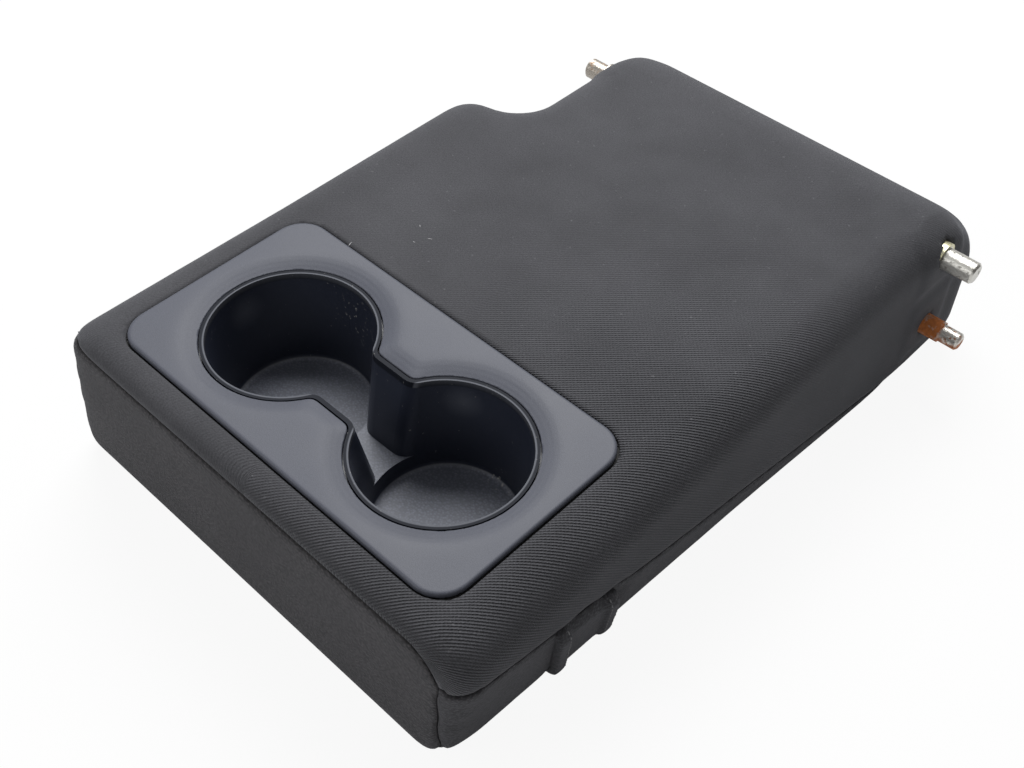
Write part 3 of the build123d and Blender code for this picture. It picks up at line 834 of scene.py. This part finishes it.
def fuller_sides(co, normal):
    """The front, the left and the rear all over, and the right low down."""
    full = Vector((min(0.0, normal.x), normal.y, 0)) * FULLNESS
    return full + Vector((lower_bow(co) * max(0.0, normal.x), 0, 0))


def right_corners(co, normal):
    """The right rear corner is fuller, and the right front one a little slack."""
    if co.y > REAR_FROM and min(normal.x, normal.y) > REAR_FACING:
        facing = 2 * normal.x * normal.y
        return Vector((1, 1, 0)).normalized() * CORNER_FULL * facing**1.5
    if co.y < front_y + FRONT_RUN and min(normal.x, -normal.y) > FRONT_FACING:
        facing = -2 * normal.x * normal.y
        return Vector((-1, 1, 0)).normalized() * CORNER_SLACK * facing
    return Vector()


def left_front(co, normal):
    """The left side is fuller at half its height, and less so towards the notch."""
    if co.y < front_y + LEFT_RUN and normal.x < LEFT_FACING:
        level = math.exp(-(((co.z - LEFT_LEVEL) / LEFT_LEVEL) ** 2))
        fade = 1 - max(0.0, co.y - front_y) / LEFT_RUN
        return Vector((-1, 0, 0)) * LEFT_FULL * level * fade
    return Vector()


bow_peak = Vector((0, front_y + BOW_RUN * BOW_RISE, 0))
print("the right side bows by up to", round(lower_bow(bow_peak) * 1000, 2), "mm")

# %% Lay the skin flat by the pins and fill it out
PIN_PUFF = 0.0008
PIN_AREA = Vector((0.07, 0.018, 0.017))


def side_face(y, z, side):
    """How far out the cover's side lies at a height, with the rolls at its top."""
    past_rear = max(0.0, y - (rear_y - REAR_ROLL))
    top_here = top_z - REAR_ROLL + math.sqrt(max(0.0, REAR_ROLL**2 - past_rear**2))
    past_top = max(0.0, z - (top_here - SIDE_ROLL))
    return side - SIDE_ROLL + math.sqrt(max(0.0, SIDE_ROLL**2 - past_top**2))


def by_pins(co):
    from_pin = min(abs(co.z - pivot_z), abs(co.z - stop_z))
    beside = abs(co.y - hinge_y) < PIN_AREA.y and abs(co.x) > PIN_AREA.x
    return beside and from_pin < PIN_AREA.z


fill_moves = []
for vert in bm.verts:
    co, normal = vert.co, vert.normal
    fill = fuller_sides(co, normal) + right_corners(co, normal) + left_front(co, normal)
    fill_moves.append((vert, fill))
    if by_pins(co):
        side = SIDE_X if co.x > 0 else -LEFT_REAR_X
        co.x = math.copysign(side_face(co.y, co.z, side) + PIN_PUFF, co.x)
for vert, move in fill_moves:
    vert.co += move
bm.to_mesh(form.data)
bm.free()
print("grown form", [round(v, 4) for v in form.dimensions])

# %% [markdown]
# ## Swelling
# Foam pushes the cloth out between the seams, so its faces crown a little. A bulge could be
# modelled by hand, but cloth pressure finds it by itself. The swelling is held to about a
# millimetre, so that edges stay where they are, and one subdivision makes the skin fine.

# %% Swell it with cloth pressure
SWELL_CAP = 0.0012
SWELL_FRAMES = 20


def swell(thing):
    start = [vert.co.copy() for vert in thing.data.vertices]
    cloth = thing.modifiers.new("swell", "CLOTH")
    cloth.settings.quality = 4
    cloth.settings.tension_stiffness = 25.0
    cloth.settings.compression_stiffness = 25.0
    cloth.settings.bending_stiffness = 8.0
    cloth.settings.use_pressure = True
    cloth.settings.uniform_pressure_force = 4.0
    cloth.settings.effector_weights.gravity = 0.0
    cloth.point_cache.frame_start = 1
    cloth.point_cache.frame_end = SWELL_FRAMES
    for number in range(1, SWELL_FRAMES + 1):
        scene.frame_set(number)
    apply_modifiers(thing)
    scene.frame_set(1)
    far = 0.0
    for vert, old in zip(thing.data.vertices, start):
        step = vert.co - old
        if step.length > SWELL_CAP:
            step = step.normalized() * SWELL_CAP
        vert.co = old + step
        far = max(far, step.length)
    print("swollen by up to", round(far * 1000, 2), "mm")


swell(form)

# %% One subdivision
finer = form.modifiers.new("one_subdivision", "SUBSURF")
finer.levels = 1
finer.render_levels = 1
apply_modifiers(form)
print("subdivided skin with", len(form.data.polygons), "faces")

# %% [markdown]
# ## Cutting the skin along its seams
# The skin is one closed form, and the real cover is three panels. Faces could be sorted by their
# place, but the borders would be ragged. Flat cuts lay edges along the seams first: a frame of
# cuts round the front panel, each kept to its own stretch, and one sloping cut for the side seam.

# %% The front panel's outline
CORNER_X = 0.112
FOOT_X = 0.1055
SEAM_BELOW_TOP = 0.0105
SEAM_HIGH = top_z - SEAM_BELOW_TOP
SEAM_LOW = 0.0045
CORNER_CUT = 0.010
WRAP = 0.011
PAST = 0.003


def front_cuts():
    """Each cut round the front panel: a point, the way out of the panel, and its stretch."""
    knee_x, knee_z = CORNER_X - CORNER_CUT, SEAM_HIGH - CORNER_CUT
    knee = (CORNER_X, 0, knee_z)
    foot = (SEAM_FRONT_Z, 0, FOOT_X - CORNER_X)
    yield knee, (1.0, 0, 0), lambda co: SEAM_FRONT_Z - PAST < co.z < knee_z + PAST
    yield (CORNER_X, 0, SEAM_FRONT_Z), foot, lambda co: co.z < SEAM_FRONT_Z + PAST
    yield knee, (1.0, 0, 1.0), lambda co: co.x > knee_x - PAST and co.z > knee_z - PAST
    yield (0, 0, SEAM_HIGH), (0, 0, 1.0), lambda co: co.x < knee_x + PAST
    yield (0, 0, SEAM_LOW), (0, 0, -1.0), lambda co: co.x < FOOT_X + PAST
    yield (0, front_y + WRAP, 0), (0, 1.0, 0), lambda co: co.x < 0


def in_front(face):
    centre = face.calc_center_median()
    return all((centre - Vector(point)).dot(Vector(out)) < 0 for point, out, _ in front_cuts())


print("cuts round the front", len(list(front_cuts())))

# %% Cut the front panel and the side seam
FRONT, UNDER, TOP = 1, 2, 3
FRONT_DEPTH = 0.020
CUT_SNAP = 0.0004
seam_point = Vector((0, front_y, SEAM_FRONT_Z))
seam_normal = Vector((0, seam_slope, 1.0)).normalized()


def cut(bm, faces, point, normal):
    """Cut some faces along a plane."""
    parts = set(faces)
    for face in faces:
        parts.update(face.edges)
        parts.update(face.verts)
    bmesh.ops.bisect_plane(bm, geom=list(parts), plane_co=point, plane_no=normal, dist=CUT_SNAP)


def above_seam(co):
    return (co - seam_point).dot(seam_normal)


bm = bmesh.new()
bm.from_mesh(form.data)
panel = bm.faces.layers.int.new("panel")
for point, out, stretch in front_cuts():
    centres = ((face, face.calc_center_median()) for face in bm.faces)
    near = [face for face, co in centres if co.y < front_y + FRONT_DEPTH and stretch(co)]
    cut(bm, near, point, out)
for face in bm.faces:
    face[panel] = FRONT if in_front(face) else TOP
cut(bm, [face for face in bm.faces if face[panel] == TOP], seam_point, seam_normal)
for face in bm.faces:
    if face[panel] == TOP and above_seam(face.calc_center_median()) < 0:
        face[panel] = UNDER
for tag in (FRONT, UNDER, TOP):
    print("panel", tag, "has", sum(face[panel] == tag for face in bm.faces), "faces")

# %% [markdown]
# ## Seams draw the cloth in
# Sewing pulls the panels into the foam. A groove could be carved along each seam, but it would
# be too even. Instead the seam lines are trued, and points near a seam are drawn in along their
# normals with a little noise, so that the cloth puckers as it does along real stitches.

# %% True the seam lines
TRUING_PASSES = 14
lines = {edge for edge in bm.edges if len({face[panel] for face in edge.link_faces}) > 1}
seam_points = {vert for edge in lines for vert in edge.verts}
for _ in range(TRUING_PASSES):
    trued = {}
    for vert in seam_points:
        ends = [edge.other_vert(vert).co for edge in vert.link_edges if edge in lines]
        if len(ends) == 2:
            trued[vert] = (vert.co * 2 + ends[0] + ends[1]) / 4
    for vert, place in trued.items():
        vert.co = place
print("seam points", len(seam_points))

# %% Draw the cloth in along the seams
SEAM_DEPTH = 0.0008
SEAM_WIDTH = 0.0050
PUCKER = 0.0003
PUCKER_SCALE = 95.0
PUCKER_START = 0.002
tree = kdtree.KDTree(len(seam_points))
for index, vert in enumerate(seam_points):
    tree.insert(vert.co, index)
tree.balance()
bm.normal_update()
moves = {}
for vert in bm.verts:
    gap = tree.find(vert.co)[2]
    if gap < SEAM_WIDTH:
        share = (1 - gap / SEAM_WIDTH) ** 2
        ripple = noise.noise(vert.co * PUCKER_SCALE) * PUCKER * min(1.0, gap / PUCKER_START)
        moves[vert] = vert.normal * (ripple - SEAM_DEPTH) * share
for vert, move in moves.items():
    vert.co += move
print("points drawn in", len(moves))

# %% [markdown]
# ## A seat for the strap
# The strap is pulled tight round the pad and presses a shallow seat into it. It leans forward as
# it rises, so its seat is found by following the lean down to the table. Points that swelled
# below the table are laid flat on it, as the armrest's own weight does.

# %% Seat the strap, and lie flat on the table
STRAP_SEAT = 0.0006
SEAT_MARGIN = 0.001
SLANT = 0.19
LYING_Z = 0.0002
strap_low, strap_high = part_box("cover_strap")
upright = SLANT / (1 + SLANT * seam_slope)
for vert in bm.verts:
    foot_y = vert.co.y + upright * vert.co.z
    under_strap = strap_low.y + SEAT_MARGIN < foot_y < strap_high.y - SEAT_MARGIN
    if under_strap and above_seam(vert.co) < -SEAT_MARGIN:
        vert.co -= vert.normal * STRAP_SEAT
    if vert.co.z < LYING_Z:
        vert.co.z = LYING_Z
form_bm = bm
print("form ready to be parted into panels")

# %% [markdown]
# ## Openings in the top panel
# The top is cut out for the bezel and punched for the pins. A boolean cut would leave slivers in
# the soft skin. Here the faces inside an outline are deleted, and the ragged edge that is left
# is laid on the true outline, point by point.

# %% Outlines of the openings
BEZEL_GAP = 0.0009
BEZEL_CORNER = 0.0145
TINY = 0.000001


def on_rounded_box(point):
    """The nearest place on the bezel's outline, with its gap, and if the point is inside it."""
    half = Vector(((bezel_high.x - bezel_low.x) / 2, (bezel_high.y - bezel_low.y) / 2))
    core = half - Vector((BEZEL_CORNER, BEZEL_CORNER))
    reach = BEZEL_CORNER + BEZEL_GAP
    here = Vector((point.x, point.y - cup_y))
    near = Vector((max(-core.x, min(core.x, here.x)), max(-core.y, min(core.y, here.y))))
    out = here - near
    inside = out.length < reach
    if out.length < TINY:
        gaps = [(core.x + reach - abs(here.x), 0), (core.y + reach - abs(here.y), 1)]
        axis = min(gaps)[1]
        out = Vector((0, 0))
        out[axis] = math.copysign(1.0, here[axis])
        near[axis] = math.copysign(core[axis], here[axis])
    place = near + out.normalized() * reach
    return Vector((place.x, place.y + cup_y, point.z)), inside


def on_hole(point, y, z, radius):
    """The nearest place on a pin's hole in the side, and if the point is inside it."""
    out = Vector((0, point.y - y, point.z - z))
    inside = out.length < radius
    out = out.normalized() * radius if out.length > TINY else Vector((0, radius, 0))
    return Vector((point.x, y + out.y, z + out.z)), inside


print("bezel opening", bezel_high.x - bezel_low.x + 2 * BEZEL_GAP, "wide")

# %% Open a panel along an outline
EDGE_REACH = VOXEL * 0.7


def open_panel(bm, applies, outline):
    """Delete the faces inside an outline, then lay the new edge on it."""
    bm.normal_update()
    gone = []
    for face in bm.faces:
        centre = face.calc_center_median()
        if applies(centre) and outline(centre)[1]:
            gone.append(face)
    bmesh.ops.delete(bm, geom=gone, context="FACES")
    laid = 0
    for vert in bm.verts:
        if vert.is_boundary and applies(vert.co):
            place = outline(vert.co)[0]
            if (place - vert.co).length < EDGE_REACH:
                vert.co = place
                laid += 1
    print("opened", len(gone), "faces, laid", laid, "points")


# %% [markdown]
# ## Three panels
# Each panel becomes its own closed sheet, as thick as the cloth with its thin foam backing. Its
# edge is drawn back from the seam line by a fraction of a millimetre, so that two panels meet in
# a narrow groove and never share a face.

# %% Part the form into panels
CLOTH_THICKNESS = 0.0025
EDGE_BACK = 0.0003
SLIVER = 0.0007


def ease_edges(bm):
    """Draw a panel's edge back from the seam line."""
    bm.normal_update()
    moves = []
    for vert in bm.verts:
        if vert.is_boundary:
            middle = sum((face.calc_center_median() for face in vert.link_faces), Vector())
            away = middle / len(vert.link_faces) - vert.co
            away -= vert.normal * away.dot(vert.normal)
            if away.length > TINY:
                moves.append((vert, away.normalized() * EDGE_BACK))
    for vert, move in moves:
        vert.co += move


def part_panel(tag):
    bm = form_bm.copy()
    layer = bm.faces.layers.int["panel"]
    other = [face for face in bm.faces if face[layer] != tag]
    bmesh.ops.delete(bm, geom=other, context="FACES")
    inner = [vert for vert in bm.verts if not vert.is_boundary]
    bmesh.ops.remove_doubles(bm, verts=inner, dist=SLIVER)
    ease_edges(bm)
    return bm


def thicken(bm):
    bmesh.ops.recalc_face_normals(bm, faces=bm.faces)
    bmesh.ops.solidify(bm, geom=bm.faces[:], thickness=CLOTH_THICKNESS)
    bmesh.ops.recalc_face_normals(bm, faces=bm.faces)


def shade_smooth(data):
    for face in data.polygons:
        face.use_smooth = True


def piece(name, bm, finish):
    data = bpy.data.meshes.new(name)
    bm.to_mesh(data)
    bm.free()
    shade_smooth(data)
    thing = bpy.data.objects.new(name, data)
    scene.collection.objects.link(thing)
    data.materials.append(finish)
    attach(thing, "root")
    return thing


print("panel helpers ready")

# %% [markdown]
# ## The weave's layout
# Unrolled, the top panel is a flat sheet: width across the top and down both sides, and length
# over the top and down the rear. Blender's own unwrapping would turn and stretch that sheet, so
# each point's place on it is worked out from the pad's rolls, for the ribs to read.

# %% Lay out the weave
FRONT_ROLL = 0.0095
ROLL_END = 0.98
NOTCH_START = 0.0468
NOTCH_END = 0.0875


def unrolled(reach, edge, roll, drop):
    """Distance along a section that is flat up to an edge's roll and then runs down."""
    flat = edge - roll
    past = reach - flat
    if past <= 0:
        return reach
    rise = roll - drop
    if rise > 0:
        return flat + roll * math.atan2(past, rise)
    return flat + roll * math.pi / 2 - rise


def left_edge(y):
    """How far out the left side lies, through the notch's curve."""
    share = min(1.0, max(0.0, (y - NOTCH_START) / (NOTCH_END - NOTCH_START)))
    return SIDE_X - (SIDE_X + LEFT_REAR_X) * share * share * (3 - 2 * share)


def down_front(co, drop):
    """Distance round the front roll and down to the front seam."""
    past = min(FRONT_ROLL, max(0.0, front_y + FRONT_ROLL - co.y))
    bend = FRONT_ROLL * math.asin(past / FRONT_ROLL)
    if past < FRONT_ROLL * ROLL_END:
        return bend - past
    return bend - past + min(max(0.0, drop - FRONT_ROLL), max(0.0, SIDE_X - FRONT_ROLL - co.x))


def on_sheet(co):
    """A point's place on the flat sheet."""
    drop = max(0.0, top_z - co.z)
    edge = SIDE_X if co.x > 0 else left_edge(co.y)
    across = math.copysign(unrolled(abs(co.x), edge, SIDE_ROLL, drop), co.x)
    along = unrolled(co.y, rear_y, REAR_ROLL, drop) if co.y > 0 else co.y - down_front(co, drop)
    if co.x < 0:
        in_notch = min(SIDE_X + LEFT_REAR_X, max(0.0, co.x + SIDE_X))
        along += in_notch * min(1.0, drop / SIDE_ROLL)
    return across, along


def lay_out(bm):
    layer = bm.loops.layers.uv.new("weave")
    for face in bm.faces:
        for loop in face.loops:
            loop[layer].uv = on_sheet(loop.vert.co)


print("the top's middle rear lies at", on_sheet(Vector((0, rear_y, 0))), "on the sheet")

# %% [markdown]
# ## The top panel
# One piece of ribbed cloth covers the top, the sides and the rear. It is opened for the bezel,
# for both pivots and for both stop pins. The pivots' holes sit a little high and to the rear,
# where the cloth has been pulled, so that a rim of the bush shows.

# %% The top panel
BUSH_SHOWS = 0.0009
PIVOT_HOLE = 0.0072
STOP_HOLE = 0.0060
TOP_DEPTH = 0.006
HINGE_REACH = 0.02
SIDE_FROM = 0.08
pin_holes = (
    (hinge_y + BUSH_SHOWS, pivot_z + BUSH_SHOWS, PIVOT_HOLE),
    (hinge_y, stop_z, STOP_HOLE),
)
bm = part_panel(TOP)
open_panel(bm, lambda co: co.z > top_z - TOP_DEPTH and co.y < 0, on_rounded_box)
for hole in pin_holes:
    open_panel(
        bm,
        lambda co: abs(co.y - hinge_y) < HINGE_REACH and abs(co.x) > SIDE_FROM,
        lambda co, hole=hole: on_hole(co, *hole),
    )
thicken(bm)
lay_out(bm)
cover_top = piece("armrest_cover_top", bm, rib_finish)
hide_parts("cover_top")
print("top panel", len(cover_top.data.polygons), "faces")

# %% [markdown]
# ## The front and the underside
# A smooth panel closes the front end, and a boat-shaped one wraps the underside up to the side
# seams. Both are cut from the same skin as the top, so they meet it along every seam.

# %% The front and the underside
front_bm = part_panel(FRONT)
thicken(front_bm)
cover_front = piece("armrest_cover_front", front_bm, front_finish)
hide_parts("cover_front")
under_bm = part_panel(UNDER)
thicken(under_bm)
cover_under = piece("armrest_cover_under", under_bm, under_finish)
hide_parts("cover_under")
form_bm.free()
bpy.data.objects.remove(form)
print("front", len(cover_front.data.polygons), "under", len(cover_under.data.polygons))

# %% [markdown]
# ## The bezel's soft dish
# The moulded dish runs out into the flat without a line, which a solid's hard edges can't show.
# A fine remesh of the solid, smoothed only on its upper face, takes the line away and leaves the
# outline and the cup edges alone.

# %% Remesh the bezel and find its upper face
BEZEL_VOXEL = 0.0008
FACING_UP = 0.2
ON_FACE = 0.0012
FLOOR_CLEAR = 0.0002
CLEAR = 0.0017
FROM_ABOVE = 0.2
RING_STEPS = 8
turns = [math.tau * step / RING_STEPS for step in range(RING_STEPS)]
bezel = piece("armrest_cup_bezel", solid_copy("cup_bezel"), bezel_finish)
remesh_evenly(bezel, BEZEL_VOXEL)
solid_tree = tree_of("cup_bezel")


def face_height(x, y):
    hit = solid_tree.ray_cast(Vector((x, y, FROM_ABOVE)), Vector((0, 0, -1)))[0]
    return hit.z if hit and hit.z > bezel_low.z + FLOOR_CLEAR else None


def clear_of_edges(co):
    """Whether the upper face goes on all round a point."""
    ring_places = ((co.x + CLEAR * math.cos(turn), co.y + CLEAR * math.sin(turn)) for turn in turns)
    return all(face_height(x, y) for x, y in ring_places)


print("bezel remeshed to", len(bezel.data.polygons), "faces")

# %% Soften the dish
DISH_PASSES = 60
bm = bmesh.new()
bm.from_mesh(bezel.data)
even_out(bm, 3)
upper = []
for vert in bm.verts:
    height = face_height(vert.co.x, vert.co.y) if vert.normal.z > FACING_UP else None
    if height and abs(height - vert.co.z) < ON_FACE:
        vert.co.z = height
        if clear_of_edges(vert.co):
            upper.append(vert)
for _ in range(DISH_PASSES):
    bmesh.ops.smooth_vert(bm, verts=upper, factor=0.5, use_axis_z=True)
bm.to_mesh(bezel.data)
bm.free()
shade_smooth(bezel.data)
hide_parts("cup_bezel")
print("bezel", len(bezel.data.polygons), "faces,", len(upper), "points softened")

# %% [markdown]
# ## The strap
# A hemmed band runs down from the side seam, under the pad and up the other side. Its solid
# already has the hems but stands upright. A fine remesh of a copy is smoothed for rolled hems,
# thinned between them, leant forward as it rises and tucked in under the seam.

# %% The strap's band
STRAP_VOXEL = 0.0012
HEM = 0.0066
HEM_STEP = 0.0010
HEM_RUN = 0.0012
UNDERSIDE = 0.003
BOW_FROM = 0.090
BOW_BLEND = 0.012
TUCK = 0.0040
TUCK_RUN = 0.009
strap = piece("armrest_strap", solid_copy("cover_strap"), strap_finish)
remesh_evenly(strap, STRAP_VOXEL)
bm = bmesh.new()
bm.from_mesh(strap.data)
even_out(bm, 5)
for vert in bm.verts:
    from_hem = min(vert.co.y - strap_low.y, strap_high.y - vert.co.y) - HEM
    if from_hem > 0 and abs(vert.normal.y) < 0.5 and vert.co.z > UNDERSIDE:
        vert.co -= vert.normal * HEM_STEP * min(1.0, from_hem / HEM_RUN)
    vert.co += Vector((0, -1, seam_slope)) * SLANT * max(0.0, vert.co.z)
    on_right = min(1.0, max(0.0, (vert.co.x - BOW_FROM) / BOW_BLEND))
    vert.co.x += lower_bow(vert.co) * on_right
    below = -above_seam(vert.co)
    if below < TUCK_RUN:
        vert.co.x -= math.copysign(TUCK * (1 - max(0.0, below) / TUCK_RUN) ** 1.5, vert.co.x)
bm.to_mesh(strap.data)
shade_smooth(strap.data)
strap_tree = BVHTree.FromBMesh(bm)
bm.free()
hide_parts("cover_strap")
print("strap", len(strap.data.polygons), "faces")

# %% [markdown]
# ## Stitches along the hems
# Each hem is held by a row of stitches just inside its fold. A curve with an array could lay
# them out, but it wouldn't lie on the cloth. One stitch is a small stretched ball; copies of it
# are dropped onto the band along a line, each turned to follow the cloth.

# %% Lines for the stitches to follow
ROW_FOOT = 0.009
ROW_BELOW_SEAM = 0.002
ROW_STEPS = 60
UNDER_REACH = 0.115
UNDER_STEPS = 120
FROM_BESIDE = 0.25
FROM_BELOW = -0.05


def drop_on(tree, start, direction):
    hit = tree.ray_cast(Vector(start), Vector(direction))
    return (hit[0], hit[1]) if hit[0] else None


def side_row(y, side):
    """Places down a hem on one side, from the seam to the table."""
    seam_z = (SEAM_FRONT_Z - seam_slope * (y - front_y)) / (1 - seam_slope * SLANT)
    top = seam_z - ROW_BELOW_SEAM
    heights = [top - (top - ROW_FOOT) * step / ROW_STEPS for step in range(ROW_STEPS + 1)]
    starts = [(side * FROM_BESIDE, y - upright * z, z) for z in heights]
    found = [drop_on(strap_tree, start, (-side, 0, 0)) for start in starts]
    return [place for place in found if place]


def under_row(y):
    """Places along a hem across the underside."""
    steps = range(UNDER_STEPS + 1)
    reach = [-UNDER_REACH + 2 * UNDER_REACH * step / UNDER_STEPS for step in steps]
    found = [drop_on(strap_tree, (x, y, FROM_BELOW), (0, 0, 1)) for x in reach]
    return [place for place in found if place]


print("places down the first hem", len(side_row(strap_low.y + HEM, 1)))

# %% Rows of stitches
STITCH = 0.0031
STITCH_GAP = 0.0009
STITCH_WIDTH = 0.00033
STITCH_PROUD = 0.2
STITCH_INSET = 0.0056
STITCH_FACES = 20


def add_stitch(bm, place, normal, along):
    side = normal.cross(along).normalized()
    turn = Matrix((along, side, normal)).transposed().to_4x4()
    size = Matrix.Diagonal((STITCH / 2, STITCH_WIDTH, STITCH_WIDTH, 1.0))
    shift = Matrix.Translation(place + normal * STITCH_WIDTH * STITCH_PROUD)
    bmesh.ops.create_icosphere(bm, subdivisions=1, radius=1.0, matrix=shift @ turn @ size)


def stitch_row(bm, found):
    walked, due = 0.0, STITCH / 2
    for (a, _), (b, normal) in zip(found, found[1:]):
        step = (b - a).length
        while step > 0 and due <= walked + step:
            place = a.lerp(b, (due - walked) / step)
            along = (b - a).normalized()
            add_stitch(bm, place, (normal - along * normal.dot(along)).normalized(), along)
            due += STITCH + STITCH_GAP
        walked += step


def fibre(name, dark, pale, scale, roughness):
    """A plain fibre whose tone varies along it."""
    thread = Finish(name)
    ply = thread.noise(scale)
    thread.set(Base_Color=thread.blend(ply, dark, pale), Roughness=roughness)
    thread.bump(ply, 0.4, 0.0002)
    return thread.mat


thread_finish = fibre("stitch_thread", (0.10, 0.10, 0.105), (0.22, 0.22, 0.23), 3000.0, 0.7)
bm = bmesh.new()
for y in (strap_low.y + STITCH_INSET, strap_high.y - STITCH_INSET):
    stitch_row(bm, side_row(y, 1))
    stitch_row(bm, side_row(y, -1))
    stitch_row(bm, under_row(y))
stitches = piece("strap_stitches", bm, thread_finish)
print("stitches", len(stitches.data.polygons) // STITCH_FACES)

# %% [markdown]
# ## Lint on the top
# A few pale fibres cling to the ribs. They could be hairs from a particle system, but there are
# only four, so each is a stretched ball, half sunk in the cloth at the pixel that shows it.

# %% Lint
LINT_WIDTH = 0.00022
LINT_HEIGHT = 0.00018
LINT_DROP = Vector((0, 0, 0.02))
LINT = (
    {"pixel": (430, 238), "length": 0.0012, "angle": 0.6},
    {"pixel": (350, 243), "length": 0.0016, "angle": 1.9},
    {"pixel": (420, 225), "length": 0.0008, "angle": 2.6},
    {"pixel": (414, 241), "length": 0.0007, "angle": 0.2},
)
bm = bmesh.new()
bm.from_mesh(cover_top.data)
top_tree = BVHTree.FromBMesh(bm)
bm.free()
bm = bmesh.new()
for speck in LINT:
    place = drop_on(top_tree, at_pixel(speck["pixel"], top_z) + LINT_DROP, (0, 0, -1))[0]
    size = Matrix.Diagonal((speck["length"], LINT_WIDTH, LINT_HEIGHT, 1.0))
    laid = Matrix.Translation(place) @ Matrix.Rotation(speck["angle"], 4, "Z") @ size
    bmesh.ops.create_icosphere(bm, subdivisions=2, radius=1.0, matrix=laid)
lint_finish = fibre("lint", (0.22, 0.22, 0.23), (0.42, 0.42, 0.43), 2500.0, 0.9)
lint = piece("armrest_lint", bm, lint_finish)
print("lint faces", len(lint.data.polygons))

# %% [markdown]
# ## The dressed object's size
# The dressed object has to stay close to the imported one, so its box is printed.

# %% Size
low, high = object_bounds()
print("visual box", low, high)
